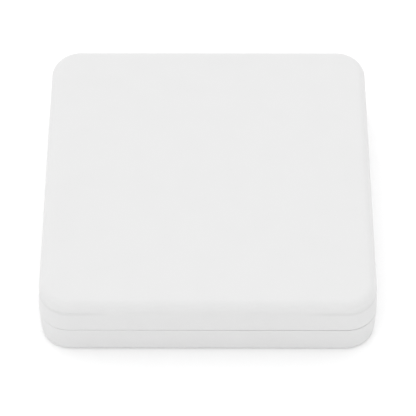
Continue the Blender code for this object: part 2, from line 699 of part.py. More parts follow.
def make_board():
    holes = [circle_outline(x, y, BOARD_SCREW[2] + 2 * GAP, 12) for x, y in BOARD_SCREW_PLACES]
    flat_part("main_board", [board_outline()] + holes, BOARD_THICKNESS, BOARD_GREEN,
              (0, 0, BOARD_UNDERSIDE + BOARD_THICKNESS / 2))


def board_part(name, size, place, material, edge=0.0001):
    box_part(name, size, (*place, PART_Z), material, edge)


def make_board_parts():
    board_part("controller_chip", CONTROLLER_SIZE, CONTROLLER_PLACE, BLACK_RESIN)
    board_part("power_inductor", INDUCTOR_SIZE, INDUCTOR_PLACE, FERRITE, INDUCTOR_EDGE)
    board_part("input_filter", FILTER_SIZE, FILTER_PLACE, FERRITE, FILTER_EDGE)
    board_part("protection_diode", DIODE_SIZE, DIODE_PLACE, BLACK_RESIN)
    board_part("crystal", CRYSTAL_SIZE, CRYSTAL_PLACE, TIN_PLATE)
    board_part("status_led", LED_SIZE, (LIGHT_X, LED_Y), CLEAR_RESIN, LED_EDGE)
    for number, place in enumerate(BRIDGE_PLACES, 1):
        board_part(f"bridge_chip_{number}", BRIDGE_SIZE, place, BLACK_RESIN)
    for number, x in enumerate(RESONANCE_COLUMNS, 1):
        board_part(f"resonance_capacitor_{number}", RESONANCE_SIZE, (x, RESONANCE_Y), CERAMIC_TAN,
                   CASE_EDGE)
    for number, y in enumerate(BULK_ROWS, 1):
        board_part(f"bulk_capacitor_{number}", BULK_SIZE, (BULK_X, y), TANTALUM, CASE_EDGE)


def make_inlet():
    mouth_y = HALF - INLET_SET_BACK
    outer = rounded_outline(INLET_WIDTH / 2, INLET_HEIGHT / 2, INLET_HEIGHT / 2 * ROUND_END, 6)
    inner_half_x = INLET_WIDTH / 2 - INLET_SHEET
    inner_half_z = INLET_HEIGHT / 2 - INLET_SHEET
    inner = rounded_outline(inner_half_x, inner_half_z, inner_half_z * ROUND_END, 6)
    can = flat_part("inlet_shell", [outer, inner], INLET_LENGTH, TIN_PLATE,
                    (0, mouth_y - INLET_LENGTH / 2, INLET_AXIS_Z))
    can.rotation_euler.x = math.radians(90)

    base_y = mouth_y - INLET_LENGTH + INSULATOR[1] / 2
    half = (INSULATOR[0] / 2, INSULATOR[1] / 2, INSULATOR[2] / 2)
    core = add_part("inlet_tongue", boxes("inlet_tongue", [((-half[0], -half[1], -half[2]), half)]),
                    BLACK_RESIN, (0, base_y, INLET_AXIS_Z))
    root_y = base_y + half[1] - GAP
    plate_x, plate_z = TONGUE_PLATE[0] / 2, TONGUE_PLATE[2] / 2
    plate = [((-plate_x, root_y, INLET_AXIS_Z - plate_z),
              (plate_x, root_y + TONGUE_PLATE[1], INLET_AXIS_Z + plate_z))]
    combine(core, add_cutter("tongue_plate", boxes("tongue_plate", plate)), "UNION")


def make_light_pipe():
    profile = ((0.0, LIGHT_PIPE_LENGTH), (LIGHT_PIPE_RADIUS, LIGHT_PIPE_LENGTH),
               (LIGHT_PIPE_RADIUS, 0.0), (0.0, 0.0))
    outer_y = housing_half(LIGHT_Z) - LIGHT_PIPE_SUNK
    pipe = turned("light_pipe", profile, CLEAR_RESIN,
                  (LIGHT_X, outer_y - LIGHT_PIPE_LENGTH, LIGHT_Z), 12)
    pipe.rotation_euler.x = math.radians(-90)


def make_weight():
    half = (WEIGHT_SIZE[0] / 2, WEIGHT_SIZE[1] / 2)
    tape_z = FLOOR_Z + GAP
    plate_z = tape_z + TAPE_THICKNESS + GAP
    plate = block("base_weight", half, half, 0.0, WEIGHT_THICKNESS, WEIGHT_CORNER, 4)
    add_part("base_weight", plate, STEEL, (0, WEIGHT_CENTRE_Y, plate_z))
    tape_half = (half[0] - WEIGHT_TAPE_MARGIN, half[1] - WEIGHT_TAPE_MARGIN)
    tape = block("weight_tape", tape_half, tape_half, 0.0, TAPE_THICKNESS)
    add_part("weight_tape", tape, TAPE, (0, WEIGHT_CENTRE_Y, tape_z))


make_top_shell()
make_bottom_shell()
make_feet()
make_screws()
make_coil()
make_coil_backing()
make_coil_tray()
make_leads()
make_temperature_sensor()
make_board()
make_board_parts()
make_inlet()
make_light_pipe()
make_weight()
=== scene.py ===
import json
import math

import bmesh
import bpy
from mathutils import Matrix, Vector


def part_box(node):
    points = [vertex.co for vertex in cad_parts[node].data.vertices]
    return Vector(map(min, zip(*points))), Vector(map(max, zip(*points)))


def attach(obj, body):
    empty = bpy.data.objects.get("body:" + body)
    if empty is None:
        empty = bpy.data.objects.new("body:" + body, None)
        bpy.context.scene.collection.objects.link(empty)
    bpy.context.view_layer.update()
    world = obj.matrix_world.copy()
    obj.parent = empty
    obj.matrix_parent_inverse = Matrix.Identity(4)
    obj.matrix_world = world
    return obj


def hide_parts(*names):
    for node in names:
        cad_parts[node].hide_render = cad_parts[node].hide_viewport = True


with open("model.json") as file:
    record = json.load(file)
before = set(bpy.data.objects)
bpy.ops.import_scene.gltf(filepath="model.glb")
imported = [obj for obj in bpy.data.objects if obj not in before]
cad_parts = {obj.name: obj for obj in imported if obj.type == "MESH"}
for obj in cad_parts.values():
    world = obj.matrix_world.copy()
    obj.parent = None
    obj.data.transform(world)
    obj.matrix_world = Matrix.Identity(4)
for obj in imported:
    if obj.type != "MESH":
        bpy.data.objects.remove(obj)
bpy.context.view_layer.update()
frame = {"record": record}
MM = 0.001
BODY = "root"
SLOTS = {part["node"]: part["material_slot"] for part in frame["record"]["subparts"]}


class Place:
    """The box that a CAD node fills."""

    def __init__(self, node):
        self.low, self.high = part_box(node)
        self.middle = (self.low + self.high) / 2
        self.half = (self.high - self.low) / 2


CAD = {node: Place(node) for node in SLOTS}

# ---------------------------------------------------------------- driving sizes
HALF = CAD["top_shell"].high.x
TOP_Z = CAD["top_shell"].high.z
TONGUE_TIP = CAD["top_shell"].low.z
BASE_Z = CAD["bottom_shell"].low.z
CAD_REVEAL = 0.30 * MM
CAD_GAP = 0.30 * MM
PARTING_Z = CAD["bottom_shell"].high.z + CAD_REVEAL / 2

# Housing form
WALL = 2.0 * MM
CORNER = 8.1 * MM
TOP_ROUND = 2.62 * MM
BASE_ROUND = 1.0 * MM
RIM_ROUND = 0.13 * MM
TOP_LEAN = 0.059
BASE_LEAN = 0.016
SEAM = 0.16 * MM
SEAM_SLANT = 0.07 * MM
REBATE = 1.0 * MM
TONGUE = 1.1 * MM
TONGUE_EASE = 0.15 * MM
REBATE_FLOOR = TONGUE_TIP - CAD_GAP
FLOOR_Z = BASE_Z + WALL
CEILING_Z = TOP_Z - WALL
INNER_FILLET = 0.4 * MM

# Mould witness where the rounded edge runs out into the wall, deepest at the corners
WITNESS_DEPTH = 0.10 * MM
WITNESS_HEIGHT = 0.75 * MM
WITNESS_LINE_DEPTH = 0.05 * MM
WITNESS_LINE_HALF = 0.10 * MM
WITNESS_LIP = 3.0 * MM
WITNESS_ALONG_SIDE = 0.06
WITNESS_FADE_START = 0.45
WITNESS_FADE_POWER = 2.2

# Posts, ribs and holes of the shells
FEET = [CAD[f"foot_{i}"].middle for i in range(1, 5)]
TRAY_SCREWS = [CAD[f"tray_screw_{i}"].middle for i in range(1, 5)]
BOARD_SCREWS = [CAD[f"board_screw_{i}"].middle for i in range(1, 5)]
FOOT_TOP = CAD["foot_1"].high.z
FOOT_RADIUS = CAD["foot_1"].half.x
BOARD = CAD["main_board"]
BOARD_TOP = BOARD.high.z
TRAY = CAD["coil_tray"]
TRAY_FLOOR = 1.3 * MM
POST_RADIUS = 4.0 * MM
POST_TOP = REBATE_FLOOR - 0.1 * MM
HOUSING_BOSS = 3.2 * MM
TRAY_BOSS = 2.4 * MM
STANDOFF = 2.6 * MM
RIB = 1.2 * MM
HEAD_BORE = 2.6 * MM
HEAD_SEAT = 4.0 * MM
SHANK_BORE = 1.35 * MM
TRAY_PILOT = 1.2 * MM
BOARD_BORE = 1.1 * MM
MIDDLE_BORE = 2.2 * MM
MOUTH_ROUND = 0.25 * MM
LABEL_HALF = (22.0 * MM, 13.0 * MM)
LABEL_DEPTH = 0.3 * MM
LABEL_CORNER = 2.0 * MM
FENCE_HEIGHT = 2.2 * MM
FENCE_CLEAR = 0.4 * MM
REARWARD = Matrix.Rotation(math.radians(-90), 3, "X")
UPSIDE_DOWN = Matrix.Rotation(math.pi, 3, "X")

# Coil and board
COIL = CAD["charging_coil"]
COIL_OUTER = COIL.high.x
COIL_INNER = 10.25 * MM
COIL_TURNS = 10
LEAD_SPREAD = CAD["coil_lead_2"].middle.x
LEAD_RADIUS = CAD["coil_lead_2"].half.x
WIRE_RADIUS = (COIL_OUTER - COIL_INNER) / COIL_TURNS / 2 * 0.97
SHEET_CORNER = 2.7 * MM
COPPER = 0.04 * MM

# Fineness
CORNER_STEPS = 24
SIDE_STEPS = 16
ROUND_STEPS = 20
SMOOTH_ANGLE = 32
WIRE_ANGLE = 50
LEAST_CORNER = 0.02 * MM


# ---------------------------------------------------------------- mesh helpers
def smooth(mesh, angle=SMOOTH_ANGLE):
    mesh.shade_smooth()
    mesh.set_sharp_from_angle(angle=math.radians(angle))


def link(name, mesh, angle=SMOOTH_ANGLE):
    smooth(mesh, angle)
    obj = bpy.data.objects.new(name, mesh)
    bpy.context.scene.collection.objects.link(obj)
    return obj


def to_object(name, bm, angle=SMOOTH_ANGLE):
    bmesh.ops.recalc_face_normals(bm, faces=bm.faces)
    mesh = bpy.data.meshes.new(name)
    bm.to_mesh(mesh)
    bm.free()
    return link(name, mesh, angle)


def bridge(bm, rings, closed=False):
    """Faces between neighbouring rings, where a ring may be a single point.

    The first and last rings are filled, or joined to each other."""
    pairs = list(zip(rings, rings[1:]))
    if closed:
        pairs.append((rings[-1], rings[0]))
    for upper, lower in pairs:
        steps = max(len(upper), len(lower))
        for i in range(steps):
            j = (i + 1) % steps
            corners = (upper[i % len(upper)], lower[i % len(lower)],
                       lower[j % len(lower)], upper[j % len(upper)])
            bm.faces.new(list(dict.fromkeys(corners)))
    for end in () if closed else (rings[0], rings[-1]):
        if len(end) > 1:
            bm.faces.new(end)


def arc(radius, start, end, steps):
    """Points (inset, rise) of an arc, measured from its outermost point and its centre."""
    for i in range(steps + 1):
        angle = math.radians(start + (end - start) * i / steps)
        yield radius * (1 - math.cos(angle)), radius * math.sin(angle)


def rounded_plan(half_x, half_y, corner, corner_steps, side_steps):
    """Points round a rounded rectangle, with their outward directions.

    The last value of each says how near the point is to a corner, from 0 to 1."""
    corner = max(min(corner, half_x, half_y), LEAST_CORNER)
    centres = [(sx * (half_x - corner), sy * (half_y - corner))
               for sx, sy in ((1, 1), (-1, 1), (-1, -1), (1, -1))]
    points = []
    for quarter, (cx, cy) in enumerate(centres):
        for i in range(corner_steps + 1):
            angle = math.radians(90 * (quarter + i / corner_steps))
            dx, dy = math.cos(angle), math.sin(angle)
            points.append((cx + corner * dx, cy + corner * dy, dx, dy, 1.0))
        far_x, far_y = centres[(quarter + 1) % 4]
        for i in range(1, side_steps):
            # the steps crowd towards the ends of the side
            t = (1 - math.cos(math.pi * i / side_steps)) / 2
            near = (abs(2 * t - 1) - WITNESS_FADE_START) / (1 - WITNESS_FADE_START)
            near = max(0.0, near) ** WITNESS_FADE_POWER
            near = WITNESS_ALONG_SIDE + (1 - WITNESS_ALONG_SIDE) * near
            points.append((cx + (far_x - cx) * t + corner * dx,
                           cy + (far_y - cy) * t + corner * dy, dx, dy, near))
    return points


def sweep(name, stations, corner_steps=6, side_steps=1, closed=False):
    """A closed skin from stations (half x, half y, corner radius, height, groove depth)."""
    bm = bmesh.new()
    rings = []
    for half_x, half_y, corner, height, *groove in stations:
        sink = sum(groove)
        plan = rounded_plan(half_x, half_y, corner, corner_steps, side_steps)
        rings.append([bm.verts.new((x - nx * sink * near, y - ny * sink * near, height))
                      for x, y, nx, ny, near in plan])
    bridge(bm, rings, closed)
    return to_object(name, bm)


def turned_ring(bm, radii, height):
    """Vertices round Z, one for each radius."""
    turns = [math.tau * i / len(radii) for i in range(len(radii))]
    return [bm.verts.new((r * math.cos(t), r * math.sin(t), height))
            for r, t in zip(radii, turns)]


def lathe(name, profile, steps=32, closed=False):
    """A profile of (radius, height) points turned round Z."""
    bm = bmesh.new()
    bridge(bm, [turned_ring(bm, [radius] * steps if radius > LEAST_CORNER / 100 else [0.0],
                            height) for radius, height in profile], closed)
    return to_object(name, bm)


def merge(name, pieces, angle=SMOOTH_ANGLE):
    """Several pieces as one object, each with the materials it had."""
    bm = bmesh.new()
    materials = []
    for piece in pieces:
        mesh = piece.data
        materials += [material for material in mesh.materials if material not in materials]
        places = [materials.index(material) for material in mesh.materials]
        for polygon in mesh.polygons:
            polygon.material_index = places[polygon.material_index] if places else 0
        bm.from_mesh(mesh)
        bpy.data.objects.remove(piece)
    obj = to_object(name, bm, angle)
    for material in materials:
        obj.data.materials.append(material)
    return obj


def move(obj, x=0.0, y=0.0, z=0.0, turn=None):
    """Places a mesh by changing its points, so that its object stays at the origin."""
    matrix = Matrix.Translation((x, y, z))
    obj.data.transform(matrix @ turn.to_4x4() if turn else matrix)
    return obj


def combine(obj, tool, operation="DIFFERENCE"):
    """Cuts or joins a tool and removes it."""
    modifier = obj.modifiers.new("combine", "BOOLEAN")
    modifier.operation = operation
    modifier.solver = "EXACT"
    modifier.object = tool
    evaluated = obj.evaluated_get(bpy.context.evaluated_depsgraph_get())
    mesh = bpy.data.meshes.new_from_object(evaluated)
    obj.modifiers.clear()
    obj.data = mesh
    smooth(mesh)
    bpy.data.objects.remove(tool)


def rods(places, radius, low, high):
    return [move(lathe("rod", [(radius, high), (radius, low)]), p.x, p.y) for p in places]


def bore(piece, places, radius, low, high):
    """Cuts an upright round hole at each place."""
    combine(piece, merge("rods", rods(places, radius, low, high)))


def prism(half_x, half_y, corner, low, high, corner_steps):
    return sweep("prism", [(half_x, half_y, corner, high), (half_x, half_y, corner, low)],
                 corner_steps)


def box_between(a, b):
    """Half size, middle, lowest and highest height of a box between two opposite corners."""
    a, b = Vector(a), Vector(b)
    half = Vector([abs(part) for part in b - a]) / 2
    return half, (a + b) / 2, min(a.z, b.z), max(a.z, b.z)


def bar(a, b):
    """A bar with sharp edges between two opposite corners."""
    half, middle, low, high = box_between(a, b)
    return move(prism(half.x, half.y, LEAST_CORNER, low, high, 1), middle.x, middle.y)


def eased_slab(name, a, b, corner, edge, steps=3, corner_steps=8):
    """A slab between two opposite corners, with rounded corners and eased rims."""
    half, middle, low, high = box_between(a, b)
    stations = [(half.x - inset, half.y - inset, corner - inset, high - edge + rise)
                for inset, rise in arc(edge, 90, 0, steps)]
    stations += [(x, y, round_, low + high - z) for x, y, round_, z in reversed(stations)]
    return move(sweep(name, stations, corner_steps), middle.x, middle.y)


def paint(piece, *finishes):
    """Gives a piece the named finishes."""
    piece.data.materials.clear()
    for finish in finishes:
        piece.data.materials.append(FINISHES[finish])
    return piece


def cast(finish, a, b, edge, steps=3):
    """A painted bar whose edges are all rounded."""
    return paint(eased_slab("bar", a, b, edge * 1.2, edge, steps, 3), finish)


def stand_for(piece, node):
    """The piece takes a CAD node's place, body and material slot."""
    if not piece.data.materials:
        paint(piece, SLOTS[node])
    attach(piece, BODY)
    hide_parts(node)


# ---------------------------------------------------------------- finishes
# the Mix node's sockets for colours
MIX_FACTOR, MIX_A, MIX_B, MIX_RESULT = 0, 6, 7, 2


def shaded(colour, factor):
    return tuple(part * factor for part in colour)


class Tree:
    """Short ways to add nodes to a node tree."""

    def __init__(self, tree):
        self.nodes, self.links = tree.nodes, tree.links

    def node(self, kind, values=(), output=0, **settings):
        made = self.nodes.new("ShaderNode" + kind)
        for name, value in settings.items():
            setattr(made, name, value)
        for key, value in dict(values).items():
            if isinstance(value, bpy.types.NodeSocket):
                self.links.new(value, made.inputs[key])
            else:
                made.inputs[key].default_value = value
        return made.outputs[output]

    def maths(self, operation, a, b=0.0, clamp=False):
        return self.node("Math", {0: a, 1: b}, operation=operation, use_clamp=clamp)

    def split(self, vector):
        """A vector's three parts."""
        parts = self.nodes.new("ShaderNodeSeparateXYZ")
        self.links.new(vector, parts.inputs[0])
        return parts.outputs


class Finish(Tree):
    """A Principled material built up from layers of procedural texture."""

    def __init__(self, name, colour, roughness, metallic=0.0, specular=0.5):
        self.material = bpy.data.materials.new(name)
        self.material.use_nodes = True
        super().__init__(self.material.node_tree)
        self.shader = self.nodes["Principled BSDF"]
        self.colour = (*colour, 1.0)
        self.set("Base Color", self.colour)
        self.set("Roughness", roughness)
        self.set("Metallic", metallic)
        self.set("Specular IOR Level", specular)
        self.place = self.node("TexCoord", output="Object")

    def set(self, socket, value):
        self.shader.inputs[socket].default_value = value

    def stretched(self, x, y, z):
        return self.node("VectorMath", {0: self.place, 1: (x, y, z)}, operation="MULTIPLY")

    def noise(self, size, detail=2.0, place=None):
        """Soft noise whose blotches are about as wide as the size."""
        return self.node("TexNoise", {"Vector": place or self.place, "Scale": 1.0 / size,
                                      "Detail": detail})

    def cells(self, size, feature="F1"):
        return self.node("TexVoronoi", {"Vector": self.place, "Scale": 1.0 / size},
                         feature=feature)

    def between(self, value, low, high, to_low=0.0, to_high=1.0):
        """A value's range stretched to another, with soft ends."""
        return self.node("MapRange", {"Value": value, "From Min": low, "From Max": high,
                                      "To Min": to_low, "To Max": to_high},
                         interpolation_type="SMOOTHSTEP")

    def edge_band(self, low, high):
        """Where the surface leans between two slopes, such as on a rounded edge."""
        normal = self.node("NewGeometry", output="Normal")
        slope = self.maths("ABSOLUTE", self.split(normal)["Z"])
        rise = self.between(slope, low, low + 0.2)
        fall = self.between(slope, high - 0.2, high, 1.0, 0.0)
        return self.maths("MULTIPLY", rise, fall)

    def tint(self, mask, colour):
        """Turns the colour towards another one by the mask."""
        self.colour = self.node("Mix", {MIX_FACTOR: mask, MIX_A: self.colour,
                                        MIX_B: (*colour, 1.0)}, MIX_RESULT, data_type="RGBA")
        self.links.new(self.colour, self.shader.inputs["Base Color"])

    def blotches(self, size, detail, start, end, colour, cover=1.0):
        """Noise above a level turns the colour towards another one."""
        self.tint(self.between(self.noise(size, detail), start, end, 0.0, cover), colour)

    def gloss(self, mask, low, high):
        """Roughness that runs from low to high with the mask."""
        rough = self.node("MapRange", {"Value": mask, "To Min": low, "To Max": high})
        self.links.new(rough, self.shader.inputs["Roughness"])

    def relief(self, *heights):
        """Bump from pairs of height texture and depth in metres."""
        normal = None
        for height, depth in heights:
            values = {"Strength": 1.0, "Distance": depth, "Height": height}
            if normal:
                values["Normal"] = normal
            normal = self.node("Bump", values)
        self.links.new(normal, self.shader.inputs["Normal"])
        return self.material


def shell_plastic(name):
    """White satin ABS: spark-eroded grain, faint mottling, edges polished by handling with a
    painted sheen on them, and a painted shade band along the crease near the corners.
    """
    white = (0.655, 0.655, 0.655)
    finish = Finish(name, white, 0.52, specular=0.42)
    finish.blotches(9.0 * MM, 3.0, 0.35, 0.75, shaded(white, 0.985), 0.6)
    finish.tint(finish.between(finish.cells(0.9 * MM), 0.0, 0.16, 0.5, 0.0), shaded(white, 0.965))
    # painted shade: the colour darkens in a band along the crease below the rounded top edge,
    # strongest near the corners
    across, along, height = finish.split(finish.place)
    near_corner = finish.maths("MINIMUM", finish.maths("ABSOLUTE", across),
                               finish.maths("ABSOLUTE", along))
    near_corner = finish.between(near_corner, 0.54 * HALF, 0.76 * HALF)
    line = TOP_Z - TOP_ROUND - WITNESS_HEIGHT
    off_line = finish.maths("ABSOLUTE", finish.maths("SUBTRACT", height, line))
    painted_crease_shade = finish.maths("MULTIPLY", finish.between(off_line, 0.0, 1.1 * MM, 1.0, 0.0), near_corner)
    finish.tint(painted_crease_shade, shaded(white, 0.93))
    # rounded edges: handling polish lowers the roughness, and a painted sheen lightens their colour
    polish_and_painted_sheen = finish.maths("MULTIPLY", finish.edge_band(0.15, 0.95), finish.noise(2.2 * MM, 4.0))
    finish.tint(finish.maths("MULTIPLY", polish_and_painted_sheen, 0.5), shaded(white, 1.02))
    worn = finish.maths("SUBTRACT", finish.noise(0.5 * MM, 3.0), polish_and_painted_sheen, True)
    finish.gloss(worn, 0.40, 0.60)
    return finish.relief((finish.noise(0.14 * MM, 3.0), 0.004 * MM),
                         (finish.cells(0.3 * MM), 0.003 * MM))


def foot_rubber(name):
    grey = (0.30, 0.30, 0.31)
    finish = Finish(name, grey, 0.8, specular=0.3)
    finish.blotches(3.0 * MM, 2.0, 0.3, 0.7, shaded(grey, 0.86))
    finish.blotches(0.8 * MM, 5.0, 0.52, 0.72, (0.46, 0.45, 0.43), 0.35)
    finish.gloss(finish.noise(0.6 * MM, 3.0), 0.68, 0.92)
    return finish.relief((finish.noise(0.12 * MM, 4.0), 0.012 * MM))


def tray_plastic(name):
    finish = Finish(name, (0.62, 0.61, 0.58), 0.55)
    flow = finish.noise(14.0 * MM, 2.0, finish.stretched(1.0, 0.25, 1.0))
    finish.tint(finish.between(flow, 0.4, 0.7), (0.57, 0.555, 0.52))
    finish.gloss(finish.noise(1.0 * MM, 3.0), 0.45, 0.65)
    return finish.relief((finish.noise(0.2 * MM, 3.0), 0.006 * MM))


def metal(name, colour, roughness, grain_size, stretch, stain):
    """Rolled or plated metal with a fine grain along one axis and faint stains."""
    finish = Finish(name, colour, roughness, 1.0)
    grain = finish.noise(grain_size, 3.0, finish.stretched(*stretch))
    finish.blotches(2.5 * MM, 4.0, 0.5, 0.75, shaded(colour, stain))
    finish.blotches(0.7 * MM, 5.0, 0.62, 0.7, shaded(colour, 0.7), 0.3)
    finish.gloss(grain, roughness - 0.1, roughness + 0.14)
    return finish.relief((grain, 0.002 * MM))


def litz(name, colour, roughness, metallic):
    """Fine enamelled strands laid in a twist, drawn on the wire's own length and girth."""
    strands, twist = 9.0, 0.9 * MM
    finish = Finish(name, colour, roughness, metallic)
    length, girth, _ = finish.split(finish.node("UVMap"))
    lay = finish.maths("ADD", finish.maths("MULTIPLY", girth, strands),
                       finish.maths("DIVIDE", length, twist))
    strand = finish.maths("PINGPONG", lay, 0.5)
    finish.tint(finish.between(strand, 0.0, 0.16, 0.75, 0.0), shaded(colour, 0.35))
    finish.blotches(1.5 * MM, 3.0, 0.45, 0.75, shaded(colour, 0.75), 0.6)
    finish.gloss(finish.noise(0.3 * MM), roughness - 0.08, roughness + 0.12)
    return finish.relief((finish.between(strand, 0.0, 0.5), 0.04 * MM))


def adhesive_tape(name):
    finish = Finish(name, (0.85, 0.80, 0.62), 0.35)
    fibres = finish.noise(0.25 * MM, 4.0, finish.stretched(0.15, 1.0, 1.0))
    bubbles = finish.between(finish.cells(1.6 * MM), 0.0, 0.14, 0.8, 0.0)
    finish.tint(finish.between(fibres, 0.4, 0.7, 0.0, 0.5), (0.74, 0.68, 0.48))
    finish.tint(bubbles, (0.93, 0.90, 0.78))
    finish.gloss(finish.noise(2.0 * MM), 0.22, 0.5)
    return finish.relief((fibres, 0.004 * MM))


def ferrite(name):
    """Sintered ferrite with the fine cracks of a sheet that was scored and flexed."""
    finish = Finish(name, (0.06, 0.06, 0.07), 0.6)
    finish.blotches(0.25 * MM, 5.0, 0.5, 0.75, (0.12, 0.115, 0.12))
    crack = finish.between(finish.cells(4.0 * MM, "DISTANCE_TO_EDGE"), 0.0, 0.018, 1.0, 0.0)
    finish.tint(finish.maths("MULTIPLY", crack, 0.7), (0.02, 0.02, 0.02))
    finish.gloss(finish.noise(0.5 * MM, 3.0), 0.45, 0.75)
    return finish.relief((finish.noise(0.1 * MM, 3.0), 0.006 * MM),
                         (finish.maths("SUBTRACT", 1.0, crack), 0.008 * MM))


def foam(name):
    finish = Finish(name, (0.10, 0.10, 0.10), 0.95, specular=0.2)
    pores = finish.cells(0.35 * MM)
    finish.tint(finish.between(pores, 0.05, 0.4, 0.8, 0.0), (0.035, 0.035, 0.035))
    finish.blotches(5.0 * MM, 2.0, 0.4, 0.7, (0.14, 0.14, 0.14), 0.4)
    finish.gloss(finish.noise(0.5 * MM), 0.88, 1.0)
    return finish.relief((pores, 0.05 * MM))


def solder_mask(name, green):
    """Green solder mask over glass cloth or copper; the cloth's weave just shows."""
    finish = Finish(name, green, 0.35)
    threads = [finish.node("TexWave", {"Vector": finish.place, "Scale": 0.35 / MM}, "Fac",
                           bands_direction=axis) for axis in "XY"]
    weave = finish.maths("MULTIPLY", *threads)
    finish.tint(finish.maths("MULTIPLY", weave, 0.25), shaded(green, 1.5))
    finish.blotches(6.0 * MM, 3.0, 0.4, 0.7, shaded(green, 0.68), 0.4)
    finish.gloss(finish.noise(0.6 * MM, 3.0), 0.25, 0.45)
    return finish.relief((weave, 0.003 * MM), (finish.noise(0.3 * MM), 0.003 * MM))


def resin(name, colour, roughness, blotches, sheen, gloss, grain):
    """A moulded or dipped part; sizes of the sheen and the grain come first in their tuples."""
    finish = Finish(name, colour, roughness)
    finish.blotches(*blotches)
    finish.gloss(finish.noise(*sheen), *gloss)
    size, depth = grain
    return finish.relief((finish.noise(size, 3.0), depth))


def clear_resin(name):
    finish = Finish(name, (0.88, 0.90, 0.92), 0.15)
    finish.set("Transmission Weight", 0.7)
    finish.set("IOR", 1.49)
    finish.blotches(0.6 * MM, 3.0, 0.5, 0.8, (0.80, 0.83, 0.86), 0.5)
    finish.gloss(finish.noise(0.2 * MM, 3.0), 0.08, 0.26)
    return finish.relief((finish.noise(0.15 * MM, 2.0), 0.002 * MM))


ALONG_X, ALONG_Y, NO_GRAIN = (0.03, 1.0, 1.0), (1.0, 0.03, 1.0), (1.0, 1.0, 1.0)
GREEN_MASK, GREEN_OVER_COPPER = (0.02, 0.16, 0.07), (0.05, 0.26, 0.10)
ALUMINIUM, TIN, STEEL = (0.80, 0.81, 0.82), (0.75, 0.75, 0.74), (0.60, 0.60, 0.62)
FINISHES = {make.__name__: make(make.__name__) for make in (
    shell_plastic, foot_rubber, tray_plastic, adhesive_tape, ferrite, foam, clear_resin)}
for make, name, *look in (
        (resin, "sensor_coating", (0.05, 0.10, 0.32), 0.3,
         (0.5 * MM, 3.0, 0.4, 0.7, (0.03, 0.06, 0.22), 0.7), (0.3 * MM,), (0.18, 0.4),
         (0.25 * MM, 0.01 * MM)),
        (resin, "black_resin", (0.02, 0.02, 0.022), 0.5,
         (0.12 * MM, 4.0, 0.55, 0.75, (0.055, 0.055, 0.058)), (0.4 * MM, 3.0), (0.4, 0.62),
         (0.07 * MM, 0.006 * MM)),
        (resin, "tantalum_case", (0.75, 0.52, 0.10), 0.45,
         (0.2 * MM, 4.0, 0.45, 0.75, (0.62, 0.40, 0.07), 0.5), (0.4 * MM, 3.0), (0.35, 0.6),
         (0.09 * MM, 0.005 * MM)),
        (resin, "capacitor_ceramic", (0.48, 0.36, 0.24), 0.5,
         (0.15 * MM, 4.0, 0.5, 0.75, (0.36, 0.26, 0.17), 0.6), (0.3 * MM, 3.0), (0.38, 0.6),
         (0.08 * MM, 0.005 * MM)),
        (litz, "coil_copper", (0.72, 0.33, 0.16), 0.38, 1.0),
        (litz, "litz_sleeve", (0.62, 0.28, 0.12), 0.45, 0.3),
        (solder_mask, "board_laminate", GREEN_MASK),
        (solder_mask, "masked_copper", GREEN_OVER_COPPER),
        (metal, "sheet_aluminium", ALUMINIUM, 0.36, 0.12 * MM, ALONG_X, 0.92),
        (metal, "tin_plate", TIN, 0.32, 0.1 * MM, ALONG_Y, 0.88),
        (metal, "zinc_plated_steel", STEEL, 0.38, 0.15 * MM, ALONG_X, 0.85),
        (metal, "screw_steel", STEEL, 0.34, 0.08 * MM, NO_GRAIN, 0.88),
        (metal, "contact_gold", (0.83, 0.62, 0.28), 0.28, 0.1 * MM, NO_GRAIN, 0.9)):
    FINISHES[name] = make(name, *look)


# ---------------------------------------------------------------- housing
def wall_half(z):
    """Half the outer width at a height, from the lean of the two shells."""
    if z > PARTING_Z:
        return HALF - TOP_LEAN * (z - PARTING_Z)
    return HALF - BASE_LEAN * (PARTING_Z - z)


def square_ring(half, corner, height, groove=0.0):
    return (half, half, corner, height, groove)


def wall_ring(z, groove=0.0):
    return square_ring(wall_half(z), CORNER, z, groove)


def wall_rings(start, end, count):
    return [wall_ring(start + (end - start) * i / count) for i in range(1, count + 1)]


def edge_arc(half, corner, centre_z, radius, start, end, steps):
    """Square stations on an arc whose outermost point has the given half width."""
    return [square_ring(half - inset, corner - inset, centre_z + rise)
            for inset, rise in arc(radius, start, end, steps)]


def inset_rings(half, corner, height, *insets):
    """Square stations that shrink towards the middle of a flat face."""
    return [square_ring(half - inset * MM, corner * (half - inset * MM) / half, height)
            for inset in insets]


def top_edge_stations():
    """From the middle of the charging surface, out over the edge and the crease to the rim."""
    lean = math.atan(TOP_LEAN)
    round_end = TOP_Z - TOP_ROUND * (1 - math.sin(lean))
    arc_half = wall_half(round_end) + TOP_ROUND * (1 - math.cos(lean))
    stations = inset_rings(arc_half - TOP_ROUND, CORNER - TOP_ROUND, TOP_Z,
                           34.0, 20.0, 8.0, 2.5, 0.8, 0.25)
    stations += edge_arc(arc_half, CORNER, TOP_Z - TOP_ROUND, TOP_ROUND, 90,
                         math.degrees(lean), ROUND_STEPS)
    for share in (0.25, 0.5, 0.75, 1.0):
        stations.append(wall_ring(round_end - WITNESS_HEIGHT * share,
                                  WITNESS_DEPTH * share ** 1.5))
    crease = round_end - WITNESS_HEIGHT
    half = wall_half(crease)
    stations.append(square_ring(half, CORNER, crease - WITNESS_LINE_HALF,
                                WITNESS_DEPTH + WITNESS_LINE_DEPTH))
    stations.append(square_ring(half, CORNER, crease - 2 * WITNESS_LINE_HALF, WITNESS_DEPTH))
    for share in (0.15, 0.3, 0.45, 0.6, 0.8, 1.0):
        fade = 1 - share * share * (3 - 2 * share)
        stations.append(wall_ring(crease - WITNESS_LIP * share, WITNESS_DEPTH * fade))
    rim_z = PARTING_Z + SEAM / 2
    stations += wall_rings(crease - WITNESS_LIP, rim_z + RIM_ROUND, 8)
    return stations + edge_arc(wall_half(rim_z), CORNER, rim_z + RIM_ROUND, RIM_ROUND, -15, -90, 5)


